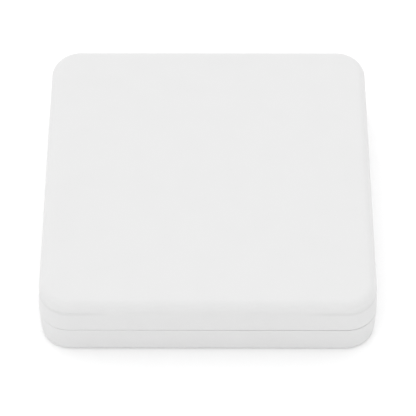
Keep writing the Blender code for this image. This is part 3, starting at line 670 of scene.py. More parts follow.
def top_shell_stations():
    """The outside, then the tongue and back up inside to the middle of the ceiling."""
    stations = top_edge_stations()
    outer = HALF - REBATE - CAD_GAP
    inner = outer - TONGUE
    root = PARTING_Z + 0.8 * MM
    tongue = [(outer, PARTING_Z + SEAM / 2), (outer, TONGUE_TIP + TONGUE_EASE),
              (outer - TONGUE_EASE, TONGUE_TIP), (inner + TONGUE_EASE, TONGUE_TIP),
              (inner, TONGUE_TIP + TONGUE_EASE), (inner, root)]
    stations += [square_ring(half, CORNER - HALF + half, z) for half, z in tongue]
    ceiling_round = TOP_ROUND - WALL + 0.6 * MM
    inner_end = CEILING_Z - ceiling_round
    for i in range(5):
        z = root + (inner_end - root) * i / 4
        stations.append(square_ring(wall_half(z) - WALL, CORNER - WALL, z))
    last = wall_half(inner_end) - WALL
    stations += edge_arc(last, CORNER - WALL, inner_end, ceiling_round, 0, 90, 8)[1:]
    return stations + inset_rings(last - ceiling_round, CORNER - WALL - ceiling_round, CEILING_Z,
                                  0.3, 6.0, 20.0, 34.0)


def bottom_shell_stations():
    """From the middle of the underside, out and up over the wall, down inside to the floor."""
    edge = wall_half(BASE_Z + BASE_ROUND)
    stations = inset_rings(edge - BASE_ROUND, CORNER - BASE_ROUND, BASE_Z,
                           38.0, 24.0, 10.0, 2.0, 0.5, 0.15)
    stations += edge_arc(edge, CORNER, BASE_Z + BASE_ROUND, BASE_ROUND, -90, 0, 12)
    rim_z = PARTING_Z - SEAM / 2
    stations += wall_rings(BASE_Z + BASE_ROUND, rim_z - RIM_ROUND, 8)
    stations += edge_arc(wall_half(rim_z), CORNER, rim_z - RIM_ROUND, RIM_ROUND, 15, 90, 5)
    rebate, inner = HALF - REBATE, HALF - WALL
    stations += [square_ring(rebate, CORNER - REBATE, rim_z),
                 square_ring(rebate, CORNER - REBATE, REBATE_FLOOR),
                 square_ring(inner, CORNER - WALL, REBATE_FLOOR)]
    stations += edge_arc(inner, CORNER - WALL, FLOOR_Z + INNER_FILLET, INNER_FILLET, 0, -90, 6)
    return stations + inset_rings(inner - INNER_FILLET, CORNER - WALL - INNER_FILLET, FLOOR_Z,
                                  0.4, 6.0, 20.0, 36.0)


def posts(places, radius, low, high, flare, hangs=False):
    """Upright bosses that widen where they meet their wall and are eased at the free end."""
    ease = 0.2 * MM
    profile = [(radius + flare, 0.0), (radius + flare * 0.4, 0.7 * MM), (radius, 1.4 * MM),
               (radius, high - low - ease), (radius - ease, high - low)]
    profile = [(r, high - z if hangs else low + z) for r, z in profile]
    return [move(lathe("post", profile, 40), p.x, p.y) for p in places]


def add_corner_ribs(shell, low, high, reach):
    """Ribs from each corner post to the walls, first along X and then along Y."""
    for along_x in (True, False):
        ribs = []
        for foot in FEET:
            far_x, far_y = math.copysign(reach, foot.x), math.copysign(reach, foot.y)
            if along_x:
                ribs.append(bar((foot.x, foot.y - RIB / 2, low), (far_x, foot.y + RIB / 2, high)))
            else:
                ribs.append(bar((foot.x - RIB / 2, foot.y, low), (foot.x + RIB / 2, far_y, high)))
        combine(shell, merge("ribs", ribs), "UNION")


def make_top_shell():
    shell = sweep("top_shell_moulding", top_shell_stations(), CORNER_STEPS, SIDE_STEPS)
    root, blind = CEILING_Z + 0.5 * MM, CEILING_Z - 1.0 * MM
    boss_foot = TRAY.low.z + TRAY_FLOOR + CAD_GAP
    bosses = posts(FEET, HOUSING_BOSS, POST_TOP + CAD_GAP, root, 0.5 * MM, True)
    bosses += posts(TRAY_SCREWS, TRAY_BOSS, boss_foot, root, 0.4 * MM, True)
    combine(shell, merge("bosses", bosses), "UNION")
    add_corner_ribs(shell, PARTING_Z + 1.35 * MM, root + 0.1 * MM, HALF - WALL * 0.7)
    bore(shell, FEET, SHANK_BORE, POST_TOP - WALL, blind)
    bore(shell, TRAY_SCREWS, TRAY_PILOT, boss_foot - WALL, blind)
    stand_for(shell, "top_shell")


def rounded_mouth(half_x, half_y, corner, surface, depth, mouth):
    """Stations of a plug that widens smoothly where it comes out of a surface."""
    stations = [(half_x + mouth, half_y + mouth, corner + mouth, surface + 1.0 * MM)]
    stations += [(half_x + grow, half_y + grow, corner + grow, surface - mouth + rise)
                 for grow, rise in arc(mouth, 90, 0, 6)]
    return stations + [(half_x, half_y, corner, surface - depth)]


def foot_well(foot):
    """Foot recess, screw-head bore and shank bore of one corner, as one stepped plug."""
    radius, mouth = FOOT_RADIUS + CAD_GAP, 0.2 * MM
    seat = FOOT_TOP + CAD_GAP
    profile = [(SHANK_BORE, POST_TOP + WALL), (SHANK_BORE, HEAD_SEAT), (HEAD_BORE, HEAD_SEAT),
               (HEAD_BORE, seat), (radius, seat)]
    profile += [(radius + inset, BASE_Z + mouth - rise) for inset, rise in arc(mouth, 0, 90, 5)]
    profile.append((radius + mouth, BASE_Z - WALL))
    return move(lathe("foot_well", profile, 64), foot.x, foot.y)


def weight_fence():
    """Short ribs on the floor that keep the weight in its place."""
    weight = CAD["base_weight"]
    bottom, top = FLOOR_Z - 0.5 * MM, FLOOR_Z + FENCE_HEIGHT
    side, near, far = 6.0 * MM, 10.0 * MM, 22.0 * MM
    fence = []
    for sign in (-1, 1):
        x, mid_y = sign * (weight.high.x + FENCE_CLEAR), weight.middle.y
        fence.append(bar((x, mid_y - side, bottom), (x + sign * RIB, mid_y + side, top)))
        for y, out in ((weight.low.y - FENCE_CLEAR, -RIB), (weight.high.y + FENCE_CLEAR, RIB)):
            fence.append(bar((sign * near, y, bottom), (sign * far, y + out, top)))
    return merge("fence", fence)


def make_bottom_shell():
    shell = sweep("bottom_shell_moulding", bottom_shell_stations(), CORNER_STEPS, SIDE_STEPS)
    # the gap above the rim opens from left to right
    for vertex in shell.data.vertices:
        if vertex.co.z > PARTING_Z - SEAM / 2 - 2 * RIM_ROUND:
            vertex.co.z -= SEAM_SLANT * vertex.co.x / HALF
    root, board_seat = FLOOR_Z - 0.5 * MM, BOARD.low.z - CAD_GAP
    stands = posts(FEET, POST_RADIUS, root, POST_TOP, 0.5 * MM)
    stands += posts(BOARD_SCREWS, STANDOFF, root, board_seat, 0.3 * MM)
    combine(shell, merge("stands", stands), "UNION")
    add_corner_ribs(shell, root - 0.1 * MM, POST_TOP - 0.5 * MM, HALF - WALL / 2)
    combine(shell, weight_fence(), "UNION")
    combine(shell, merge("wells", [foot_well(foot) for foot in FEET]))
    bore(shell, BOARD_SCREWS, BOARD_BORE, FLOOR_Z - WALL / 2, BOARD.low.z + WALL)
    label = rounded_mouth(*LABEL_HALF, LABEL_CORNER, -BASE_Z, LABEL_DEPTH, 0.12 * MM)
    combine(shell, sweep("label", [(x, y, corner, -z) for x, y, corner, z in label], 8))
    for node in ("inlet_shell", "light_pipe"):
        place = CAD[node]
        half_x = place.half.x + CAD_GAP / 2
        half_z = min(place.half.x, place.half.z) + CAD_GAP / 2
        plug = sweep("plug", rounded_mouth(half_x, half_z, half_z, 0.0, WALL * 2, MOUTH_ROUND), 10)
        at = place.middle
        combine(shell, move(plug, at.x, wall_half(at.z), at.z, REARWARD))
    stand_for(shell, "bottom_shell")


def make_feet():
    """Moulded rubber feet with rounded rims and shallow grip rings."""
    ease, edge = 0.1 * MM, 0.4 * MM
    profile = [(0.0, FOOT_TOP), (FOOT_RADIUS - ease, FOOT_TOP), (FOOT_RADIUS, FOOT_TOP - ease)]
    profile += [(FOOT_RADIUS - inset, edge - rise) for inset, rise in arc(edge, 0, 90, 6)]
    for ring in (3.7, 2.7, 1.7):
        for offset, depth in ((0.25, 0.0), (0.12, 0.08), (-0.12, 0.08), (-0.25, 0.0)):
            profile.append(((ring + offset) * MM, depth * MM))
    profile += [(0.6 * MM, 0.0), (0.45 * MM, ease), (0.0, ease)]
    for number, foot in enumerate(FEET, 1):
        piece = move(lathe(f"foot_{number}_rubber", profile, 72), foot.x, foot.y)
        stand_for(piece, f"foot_{number}")


# ---------------------------------------------------------------- screws
SCREW_STEPS = 36
ROWS_PER_TURN = 8
THREAD_ROOT = 0.76
CROSS_LENGTH, CROSS_WIDTH, CROSS_DEPTH = 0.58, 0.15, 0.62


def thread_rings(bm, radius, length, pitch):
    """Rings of a self-tapping shank: a ridge that winds up it and fades out at the point."""
    rings = []
    rows = max(8, int(length / pitch * ROWS_PER_TURN))
    for row in range(rows + 1):
        down = row / rows
        fade = min(1.0, down * 12) * min(1.0, (1 - down) * 8)
        point = min(1.0, 0.15 + (1 - down) * 5)
        radii = []
        for i in range(SCREW_STEPS):
            phase = (-length * down / pitch + i / SCREW_STEPS) % 1.0
            ridge = max(0.0, 1 - abs(phase - 0.5) * 3.2)
            radii.append(radius * (THREAD_ROOT + (1 - THREAD_ROOT) * ridge * fade) * point)
        rings.append(turned_ring(bm, radii, -length * down))
    return rings


def make_screw(head_radius, head_height, shank_radius, length, pitch):
    """A pan-head screw with a cross recess, its head's underside at z = 0."""
    bm = bmesh.new()
    outline = [(0.0, head_height)]
    for angle in range(15, 91, 15):
        dome = 0.35 + 0.65 * math.cos(math.radians(angle))
        outline.append((head_radius * math.sin(math.radians(angle)), head_height * dome))
    outline += [(head_radius, head_height * 0.08), (head_radius * 0.97, 0.0),
                (shank_radius * 1.05, 0.0)]
    rings = [turned_ring(bm, [radius] * SCREW_STEPS if radius else [0.0], height)
             for radius, height in outline]
    rings += thread_rings(bm, shank_radius, length, pitch)
    rings.append(turned_ring(bm, [0.0], -length))
    bridge(bm, rings)
    screw = to_object("screw", bm)
    reach, thin = head_radius * CROSS_LENGTH, head_radius * CROSS_WIDTH
    deep = head_height * CROSS_DEPTH
    for half_x, half_y in ((reach, thin), (thin, reach)):
        combine(screw, sweep("recess", [
            (half_x, half_y, 0.05 * MM, head_height + 0.5 * MM),
            (half_x * 0.55, half_y * 0.7, 0.03 * MM, head_height - deep)], 2))
    return screw


def make_screws():
    # kind, head height, shank radius, pitch, whether it is driven from below
    kinds = (("housing_screw", 1.6 * MM, 1.05 * MM, 1.0 * MM, True),
             ("tray_screw", 1.3 * MM, 0.9 * MM, 0.8 * MM, True),
             ("board_screw", 1.2 * MM, 0.8 * MM, 0.7 * MM, False))
    for kind, head_height, shank_radius, pitch, points_up in kinds:
        low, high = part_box(f"{kind}_1")
        length = high.z - low.z - head_height
        pattern = make_screw((high.x - low.x) / 2, head_height, shank_radius, length, pitch)
        for number in range(1, 5):
            node = f"{kind}_{number}"
            place = CAD[node]
            seat = place.low.z + head_height if points_up else place.high.z - head_height
            piece = move(link(f"{node}_steel", pattern.data.copy()), place.middle.x,
                         place.middle.y, seat, UPSIDE_DOWN if points_up else None)
            stand_for(piece, node)
        bpy.data.objects.remove(pattern)


# ---------------------------------------------------------------- wires and the coil
def tube(name, route, radius, sides=12, flat=1.0):
    """A round wire along a route; its UV map runs along its length and round its girth.

    flat below 1 squashes the section along Z."""
    bm = bmesh.new()
    uv = bm.loops.layers.uv.new("UVMap")
    rings, lengths = [], [0.0]
    side = Vector((0.0, 0.0, 1.0))
    for i, place in enumerate(route):
        ahead = (route[min(i + 1, len(route) - 1)] - route[max(i - 1, 0)]).normalized()
        if abs(ahead.dot(side)) > 0.95:
            side = Vector((0.0, 1.0, 0.0)) if abs(ahead.y) < 0.9 else Vector((1.0, 0.0, 0.0))
        across = ahead.cross(side).normalized()
        side = across.cross(ahead).normalized()
        if i:
            lengths.append(lengths[-1] + (place - route[i - 1]).length)
        turns = [math.tau * k / sides for k in range(sides)]
        rings.append([bm.verts.new(place + radius * (across * math.cos(turn)
                                                     + side * math.sin(turn) * flat))
                      for turn in turns])
    for start, end, here, there in zip(rings, rings[1:], lengths, lengths[1:]):
        for k in range(sides):
            m = (k + 1) % sides
            face = bm.faces.new((start[k], start[m], end[m], end[k]))
            marks = ((here, k), (here, k + 1), (there, k + 1), (there, k))
            for loop, (along, step) in zip(face.loops, marks):
                loop[uv].uv = (along, step / sides)
    bm.faces.new(list(reversed(rings[0])))
    bm.faces.new(rings[-1])
    return to_object(name, bm, WIRE_ANGLE)


def smooth_route(stops, steps=8):
    """A Catmull-Rom curve through the stops."""
    stops = [Vector(stop) for stop in stops]
    path = [2 * stops[0] - stops[1]] + stops + [2 * stops[-1] - stops[-2]]
    route = []
    for before, start, end, after in zip(path, path[1:], path[2:], path[3:]):
        for i in range(steps):
            t = i / steps
            bend = (2 * before - 5 * start + 4 * end - after) * t * t
            twist = (3 * start - before - 3 * end + after) * t * t * t
            route.append(start + 0.5 * ((end - before) * t + bend + twist))
    return route + [stops[-1]]


def winding_point(share, upper):
    """A point on the winding; share runs from 0 at the rim to 1 at the middle."""
    rim, eye = COIL_OUTER - WIRE_RADIUS, COIL_INNER + WIRE_RADIUS
    radius = rim + (eye - rim) * share
    angle = math.atan2(COIL_OUTER, LEAD_SPREAD) + math.tau * COIL_TURNS * share
    if not upper:
        angle = math.pi - angle
    layer = COIL.half.z / 2
    z = COIL.high.z - layer if upper else COIL.low.z + layer
    return Vector((radius * math.cos(angle), radius * math.sin(angle), z))


def make_coil():
    """One litz wire wound inwards in the lower layer and outwards again in the upper one."""
    steps = COIL_TURNS * 56
    layers = []
    for upper in (False, True):
        route = [winding_point(i / steps, upper) for i in range(steps + 1)]
        flat = COIL.half.z / 2 / WIRE_RADIUS
        layers.append(paint(tube("layer", route, WIRE_RADIUS, 10, flat), "coil_copper"))
    stand_for(merge("charging_coil_winding", layers, WIRE_ANGLE), "charging_coil")


def make_leads():
    """The winding's two ends, which bend out through the tray's notch and down to the board."""
    mid, joint = COIL.middle.z, 0.05 * MM
    for name, side, level in (("coil_lead_1", -1, COIL.low.z + 0.5 * MM),
                              ("coil_lead_2", 1, COIL.high.z - 0.5 * MM)):
        x, drop_y = side * LEAD_SPREAD, CAD[name].high.y - LEAD_RADIUS
        stops = [winding_point(0.0, side > 0), (x * 0.96, COIL_OUTER + 0.6 * MM, level),
                 (x, COIL_OUTER + 3.4 * MM, mid), (x, drop_y - 0.8 * MM, mid - 1.6 * MM),
                 (x, drop_y, mid - 4.8 * MM), (x, drop_y, BOARD_TOP + 2.0 * MM),
                 (x, drop_y, BOARD_TOP + joint)]
        piece = tube(f"{name}_litz", smooth_route(stops), LEAD_RADIUS * 0.86, 14)
        paint(piece, "litz_sleeve", "tin_plate")
        for polygon in piece.data.polygons:
            polygon.material_index = int(polygon.center.z < BOARD_TOP + 1.3 * MM)
        stand_for(piece, name)


def make_sensor():
    """A glass bead in the middle of the coil and its two bare leads to the board."""
    place = CAD["sensor_bead"]
    radius, middle = place.half.x, place.middle
    profile = [(radius - inset, rise) for inset, rise in arc(radius, 90, -90, 18)]
    stand_for(move(lathe("sensor_bead_glass", profile), *middle), "sensor_bead")
    under = TRAY.low.z
    for name in ("sensor_lead_1", "sensor_lead_2"):
        lead = CAD[name]
        x, thin = lead.middle.x, lead.half.x
        far = lead.high.y - thin
        stops = [(x * 0.7, 0.0, middle.z - radius * 0.7), (x, 0.0, middle.z - radius - 0.4 * MM),
                 (x, 0.0, under), (x, 0.8 * MM, under - 1.4 * MM),
                 (x, BOARD.low.y, under - 2.2 * MM), (x, far - 0.2 * MM, BOARD_TOP + 1.3 * MM),
                 (x, far, BOARD_TOP + 0.05 * MM)]
        stand_for(tube(f"{name}_wire", smooth_route(stops), thin, 10), name)


# ---------------------------------------------------------------- sheets, weight and tray
def make_sheets():
    """The flat parts: two sheets with a hole in the middle, the weight and its tape."""
    over, dimple, dimple_out, dimple_depth = 1.0 * MM, 1.6 * MM, 20.0 * MM, 0.8 * MM
    for node, ending, corner, rim in (("ferrite_sheet", "cut", SHEET_CORNER, 0.25 * MM),
                                      ("shield_plate", "cut", SHEET_CORNER, 0.12 * MM),
                                      ("base_weight", "plate", 2.0 * MM, 0.3 * MM),
                                      ("weight_tape", "film", 0.6 * MM, 0.05 * MM)):
        place = CAD[node]
        low, high, y = place.low.z, place.high.z, place.middle.y
        slab = eased_slab(f"{node}_{ending}", place.low, place.high, corner, rim)
        if corner == SHEET_CORNER:
            bore(slab, [Vector((0.0, y))], MIDDLE_BORE, low - over, high + over)
        elif node == "base_weight":
            dimples = [Vector((side * dimple_out, y)) for side in (-1, 1)]
            bore(slab, dimples, dimple, high - dimple_depth, high + over)
        stand_for(slab, node)


def make_coil_tape():
    """A flat ring of tape whose edges are just eased."""
    place, ease = CAD["coil_tape"], 0.05 * MM
    inner, outer, low, high = COIL_INNER + 0.6 * MM, place.high.x, place.low.z, place.high.z
    profile = [(inner + ease, high), (outer - ease, high), (outer, high - ease),
               (outer, low + ease), (outer - ease, low), (inner + ease, low),
               (inner, low + ease), (inner, high - ease)]
    stand_for(lathe("coil_tape_ring", profile, 96, closed=True), "coil_tape")


def make_foam():
    """A foam pad that is pressed thin at its rim and stands a little full in the middle."""
    place, steps = CAD["foam_pad"], 12
    pressed, inmost, rim_share = 0.55, 0.06, 0.2
    upper = []
    for i in range(steps + 1):
        share = i / steps
        reach = 1.0 - (1.0 - inmost) * share
        full = math.sin(math.radians(90 * min(1.0, share / rim_share)))
        upper.append((place.half.x * reach, place.half.y * reach, SHEET_CORNER * reach,
                      place.half.z * (pressed + (1 - pressed) * full)))
    lower = [(x, y, corner, -z) for x, y, corner, z in upper]
    pad = move(sweep("foam_pad_cut", upper[::-1] + lower, 8), *place.middle)
    bore(pad, [Vector((0.0, 0.0))], MIDDLE_BORE, place.low.z - 1.0 * MM, place.high.z + 1.0 * MM)
    stand_for(pad, "foam_pad")


def make_tray():
    """The moulded tray: eased rim, screw ears, a hole for the sensor and the lead notch."""
    outer, wall, corner, ease, eye = 27.8 * MM, 1.2 * MM, 3.0 * MM, 0.25 * MM, 3.4 * MM
    inner = outer - wall
    low, high, floor = TRAY.low.z, TRAY.high.z, TRAY.low.z + TRAY_FLOOR
    rings = [(outer - ease, low), (outer, low + ease), (outer, high - ease), (outer - ease, high),
             (inner + ease, high), (inner, high - ease), (inner, floor + ease),
             (inner - ease, floor)]
    stations = [square_ring(half, corner - outer + half, z) for half, z in rings]
    tray = sweep("coil_tray_moulding", stations, 10)
    ears = [bar((s.x, s.y - eye, low + 0.1 * MM),
                (math.copysign(inner, s.x), s.y + eye, floor - 0.1 * MM)) for s in TRAY_SCREWS]
    combine(tray, merge("ears", ears), "UNION")
    combine(tray, merge("eyes", rods(TRAY_SCREWS, eye, low, floor)), "UNION")
    bore(tray, TRAY_SCREWS, TRAY_PILOT, low - WALL, floor + WALL)
    bore(tray, [Vector((0.0, 0.0))], MIDDLE_BORE, low - WALL, floor + WALL)
    notch = 6.8 * MM
    combine(tray, bar((-notch, inner - 1.0 * MM, CAD["ferrite_sheet"].high.z),
                      (notch, outer + WALL, high + WALL)))
    stand_for(tray, "coil_tray")


# ---------------------------------------------------------------- circuit board
MASK_ROUND = 0.49
FINE_TRACK, WIDE_TRACK = 0.2 * MM, 1.1 * MM
END_PADS = ([f"resonance_capacitor_{i}" for i in range(1, 5)]
            + ["power_inductor", "input_filter", "protection_diode", "bulk_capacitor_1",
               "bulk_capacitor_2", "status_led"])
WIRE_PADS = {"coil_lead_1": 1.5 * MM, "coil_lead_2": 1.5 * MM,
             "sensor_lead_1": 0.6 * MM, "sensor_lead_2": 0.6 * MM}


def make_board():
    """The laminate with its notch and holes, and plated rings, vias and tracks on it."""
    low, high, half, middle = BOARD.low, BOARD.high, BOARD.half, BOARD.middle
    slab = move(prism(half.x, half.y, 1.5 * MM, low.z, high.z, 8), middle.x, middle.y)
    can = CAD["inlet_shell"]
    combine(slab, bar((can.low.x - CAD_GAP, can.low.y - CAD_GAP, low.z - WALL),
                      (can.high.x + CAD_GAP, high.y + WALL, high.z + WALL)))
    bore(slab, BOARD_SCREWS, BOARD_BORE + CAD_GAP, low.z - WALL, high.z + WALL)
    plated = [washer(s.x, s.y, 1.5 * MM, 2.5 * MM) for s in BOARD_SCREWS]
    plated += [washer(x, y, 0.15 * MM, 0.35 * MM, 12) for x, y in via_places()]
    plated += [solder(*pad) for pad in pad_places()]
    pieces = [paint(slab, "board_laminate")] + make_tracks()
    pieces += [paint(piece, "tin_plate") for piece in plated]
    stand_for(merge("main_board_assembly", pieces), "main_board")


def washer(x, y, inner, outer, steps=32):
    """A plated ring on the board's face."""
    high = BOARD_TOP + COPPER
    profile = ((inner, high), (outer - COPPER / 2, high), (outer, BOARD_TOP), (inner, BOARD_TOP))
    return move(lathe("washer", profile, steps, closed=True), x, y)


def solder(x, y, half_x, half_y):
    """A soldered pad: flat copper with a mound of solder that thins towards its edge."""
    corner, pad_corner = min(half_x, half_y), 0.08 * MM
    mound = ((0.45, 0.43, 0.34 * MM), (0.62, 0.57, 0.26 * MM), (0.80, 0.50, 0.13 * MM))
    stations = [(half_x * reach, half_y * reach, corner * turn, BOARD_TOP + height)
                for reach, turn, height in mound]
    stations += [(half_x, half_y, pad_corner, BOARD_TOP + COPPER),
                 (half_x, half_y, pad_corner, BOARD_TOP)]
    return move(sweep("solder", stations, 3), x, y)


def via_places():
    """Stitching vias along the front and side edges of the board."""
    inset, pitch, start = 1.1 * MM, 2.6 * MM, 8.0 * MM
    count = int((BOARD.high.x - 3.0 * MM) / pitch)
    places = [(i * pitch, BOARD.low.y + inset * 0.7) for i in range(-count, count + 1)]
    return places + [(side * (BOARD.high.x - inset), BOARD.low.y + start + i * pitch)
                     for i in range(9) for side in (-1, 1)]


def track(start, end, width):
    """A copper track under the mask, with one turn of 45 degrees."""
    dx, dy = end[0] - start[0], end[1] - start[1]
    short = min(abs(dx), abs(dy))
    knee = (start[0] + math.copysign(short, dx), start[1] + math.copysign(short, dy))
    runs = []
    for (ax, ay), (bx, by) in ((start, knee), (knee, end)):
        length = math.hypot(bx - ax, by - ay)
        if length < 0.1 * MM:
            continue
        run = prism((length + width) / 2, width / 2, width * MASK_ROUND, -COPPER, COPPER, 4)
        turn = Matrix.Rotation(math.atan2(by - ay, bx - ax), 3, "Z")
        runs.append(move(run, (ax + bx) / 2, (ay + by) / 2, BOARD_TOP, turn))
    return runs


def landing(node):
    """Where a part's track starts: the middle of the part, or the lower end of a lead."""
    middle = CAD[node].middle
    return (middle.x, CAD[node].high.y - LEAD_RADIUS if "lead" in node else middle.y)


def make_tracks():
    """Wide tracks between the power parts and a fan of fine ones round the controller."""
    wide = (("coil_lead_1", "bridge_chip_1"), ("coil_lead_2", "bridge_chip_2"),
            ("bridge_chip_1", "resonance_capacitor_1"), ("bridge_chip_1", "resonance_capacitor_2"),
            ("bridge_chip_2", "resonance_capacitor_3"), ("bridge_chip_2", "resonance_capacitor_4"),
            ("input_filter", "power_inductor"), ("bulk_capacitor_1", "bulk_capacitor_2"),
            ("power_inductor", "bridge_chip_1"), ("bulk_capacitor_1", "bridge_chip_2"),
            ("bulk_capacitor_2", "protection_diode"))
    routes = [(landing(start), landing(end), WIDE_TRACK) for start, end in wide]
    chip, crystal, lamp = (CAD[node].middle for node in ("controller_chip", "crystal",
                                                         "status_led"))
    edge, fan, pitch, spread = 3.2 * MM, 8.0 * MM, 0.6 * MM, 1.6
    for i in range(6):
        offset = (i - 2.5) * pitch
        for side in (-1, 1):
            routes.append(((chip.x + side * edge, chip.y + offset),
                           (side * fan, chip.y + offset * spread), FINE_TRACK))
    for offset in (-0.7 * MM, 0.7 * MM):
        routes.append(((chip.x + edge, chip.y + 2.6 * MM + offset / 3),
                       (crystal.x + offset, crystal.y), FINE_TRACK))
    routes.append(((chip.x + 1.0 * MM, chip.y + edge), (lamp.x - pitch, lamp.y), FINE_TRACK))
    runs = [run for route in routes for run in track(*route)]
    for number, run in enumerate(runs):
        # no two faces of crossing tracks lie in one plane
        move(run, z=COPPER * 0.04 * (number % 10))
        paint(run, "masked_copper")
    return runs


def pad_places():
    """Solder pads at the two ends of each part, and under the wires."""
    pads = []
    for place in (CAD[node] for node in END_PADS):
        for x in (place.low.x, place.high.x):
            pads.append((x, place.middle.y, min(0.55 * MM, place.half.y), place.half.y * 0.8))
    for node, size in WIRE_PADS.items():
        place = CAD[node]
        pads.append((place.middle.x, place.high.y - place.half.x, size, size))
    return pads


def pins_round(node, per_side):
    """Small tin feet round the four sides of a flat chip."""
    place = CAD[node]
    width, height, under, out = 0.25 * MM, 0.22 * MM, 0.35 * MM, 0.12 * MM
    pins = []
    for quarter in range(4):
        along, reach = ((place.half.x, place.half.y) if quarter % 2
                        else (place.half.y, place.half.x))
        pitch = along * 1.7 / per_side
        turn = Matrix.Rotation(math.radians(90 * quarter), 3, "Z")
        for i in range(per_side):
            offset = (i - (per_side - 1) / 2) * pitch
            pin = cast("tin_plate", (reach - under, offset - width / 2, BOARD_TOP),
                       (reach + out, offset + width / 2, BOARD_TOP + height), 0.03 * MM, 1)
            pins.append(move(pin, place.middle.x, place.middle.y, 0.0, turn))
    return pins


def moulded_body(node, draft, edge, lift):
    """A moulded package that is widest at its parting line."""
    place, corner = CAD[node], 0.16 * MM
    bottom, top = BOARD_TOP + lift, place.high.z
    line = bottom + (top - bottom) * 0.45
    rings = ((draft + edge, 0.10 * MM, top), (draft + edge * 0.3, 0.14 * MM, top - edge * 0.3),
             (draft, corner, top - edge), (0.0, corner, line), (0.0, corner, line - 0.05 * MM),
             (draft, corner, bottom))
    stations = [(place.half.x - inset, place.half.y - inset, round_, z)
                for inset, round_, z in rings]
    return move(sweep("moulded_body", stations, 3), place.middle.x, place.middle.y)


def block(finish, node, inset_x, inset_y, bottom, edge, drop=0.0, steps=3):
    """An eased block inside a node's box, from a height on the board up to its top."""
    low, high = CAD[node].low, CAD[node].high
    return cast(finish, (low.x + inset_x, low.y + inset_y, BOARD_TOP + bottom),
                (high.x - inset_x, high.y - inset_y, high.z - drop), edge, steps)


def end_strips(node, share, inward, outward, height, edge):
    """A tin strip at each of a part's two ends, over a share of its width."""
    place, strips = CAD[node], []
    reach, y = place.half.y * share, place.middle.y
    for x in (place.low.x, place.high.x):
        out = math.copysign(1.0, x - place.middle.x)
        strips.append(cast("tin_plate", (x - out * inward, y - reach, BOARD_TOP + COPPER),
                           (x + out * outward, y + reach, BOARD_TOP + height), edge))
    return strips


def make_chips():
    for node, per_side in (("controller_chip", 10), ("bridge_chip_1", 7), ("bridge_chip_2", 7)):
        place = CAD[node]
        body = moulded_body(node, 0.02 * MM, 0.05 * MM, 0.06 * MM)
        dot = Vector((place.low.x + 0.9 * MM, place.high.y - 0.9 * MM))
        bore(body, [dot], 0.35 * MM, place.high.z - 0.06 * MM, place.high.z + 0.5 * MM)
        pieces = [paint(body, "black_resin")] + pins_round(node, per_side)
        stand_for(merge(f"{node}_package", pieces), node)


def make_chip_capacitors():
    for node in END_PADS[:4]:
        body = block("capacitor_ceramic", node, 0.3 * MM, 0.05 * MM, 0.1 * MM, 0.15 * MM, 0.05 * MM)
        height = CAD[node].high.z - BOARD_TOP
        caps = end_strips(node, 1.0, 0.6 * MM, 0.0, height, 0.12 * MM)
        stand_for(merge(f"{node}_chip", [body] + caps), node)


def make_cased_parts():
    """Moulded parts with a polarity stripe, whose leads fold down their two ends."""
    for node, case, stripe in (("bulk_capacitor_1", "tantalum_case", "ferrite"),
                               ("bulk_capacitor_2", "tantalum_case", "ferrite"),
                               ("protection_diode", "black_resin", "tin_plate")):
        low, high = CAD[node].low, CAD[node].high
        pieces = [paint(moulded_body(node, 0.12 * MM, 0.12 * MM, 0.12 * MM), case),
                  cast(stripe, (low.x + 0.35 * MM, low.y + 0.25 * MM, high.z - 0.1 * MM),
                       (low.x + 1.05 * MM, high.y - 0.25 * MM, high.z), 0.03 * MM, 1)]
        for inward, height in ((0.15 * MM, 1.2 * MM), (0.8 * MM, 0.16 * MM)):
            pieces += end_strips(node, 0.54, inward, 0.1 * MM, height, 0.04 * MM)
        stand_for(merge(f"{node}_case", pieces), node)


def make_magnetics():
    for node, edge in (("power_inductor", 0.6 * MM), ("input_filter", 0.3 * MM)):
        body = block("ferrite", node, 0.1 * MM, 0.1 * MM, 0.1 * MM, edge, steps=5)
        strips = end_strips(node, 0.6, 0.25 * MM, 0.0, 1.3 * MM, 0.05 * MM)
        stand_for(merge(f"{node}_block", [body] + strips), node)


def capped(node, ending, base, base_edge, cap, cap_edge, inset_x, inset_y, step, sink):
    """A small part made of a base and a cap, which starts a little below the step."""
    drop = CAD[node].high.z - BOARD_TOP - step
    pieces = [block(cap, node, inset_x, inset_y, step - sink, cap_edge),
              block(base, node, 0.0, 0.0, COPPER, base_edge, drop)]
    stand_for(merge(f"{node}_{ending}", pieces), node)


def make_crystal():
    capped("crystal", "can", "black_resin", 0.08 * MM, "tin_plate", 0.14 * MM,
           inset_x=0.2 * MM, inset_y=0.2 * MM, step=0.45 * MM, sink=0.1 * MM)


def make_status_led():
    capped("status_led", "chip", "shell_plastic", 0.05 * MM, "clear_resin", 0.12 * MM,
           inset_x=0.25 * MM, inset_y=0.0, step=0.5 * MM, sink=0.05 * MM)


# ---------------------------------------------------------------- inlet and status light
def make_inlet_can():
    """The drawn steel can, open at both ends with a rolled mouth."""
    place = CAD["inlet_shell"]
    half, sheet, lip, roundness = place.half, 0.3 * MM, 0.15 * MM, 0.97
    rings = [(inset, half.y - lip + rise) for inset, rise in arc(lip, 0, 180, 6)]
    stations = [(half.x - inset, half.z - inset, half.z * roundness - inset, y)
                for inset, y in rings + [(sheet, -half.y), (0.0, -half.y)]]
    can = sweep("inlet_shell_can", stations, 12, closed=True)
    stand_for(move(can, *place.middle, REARWARD), "inlet_shell")


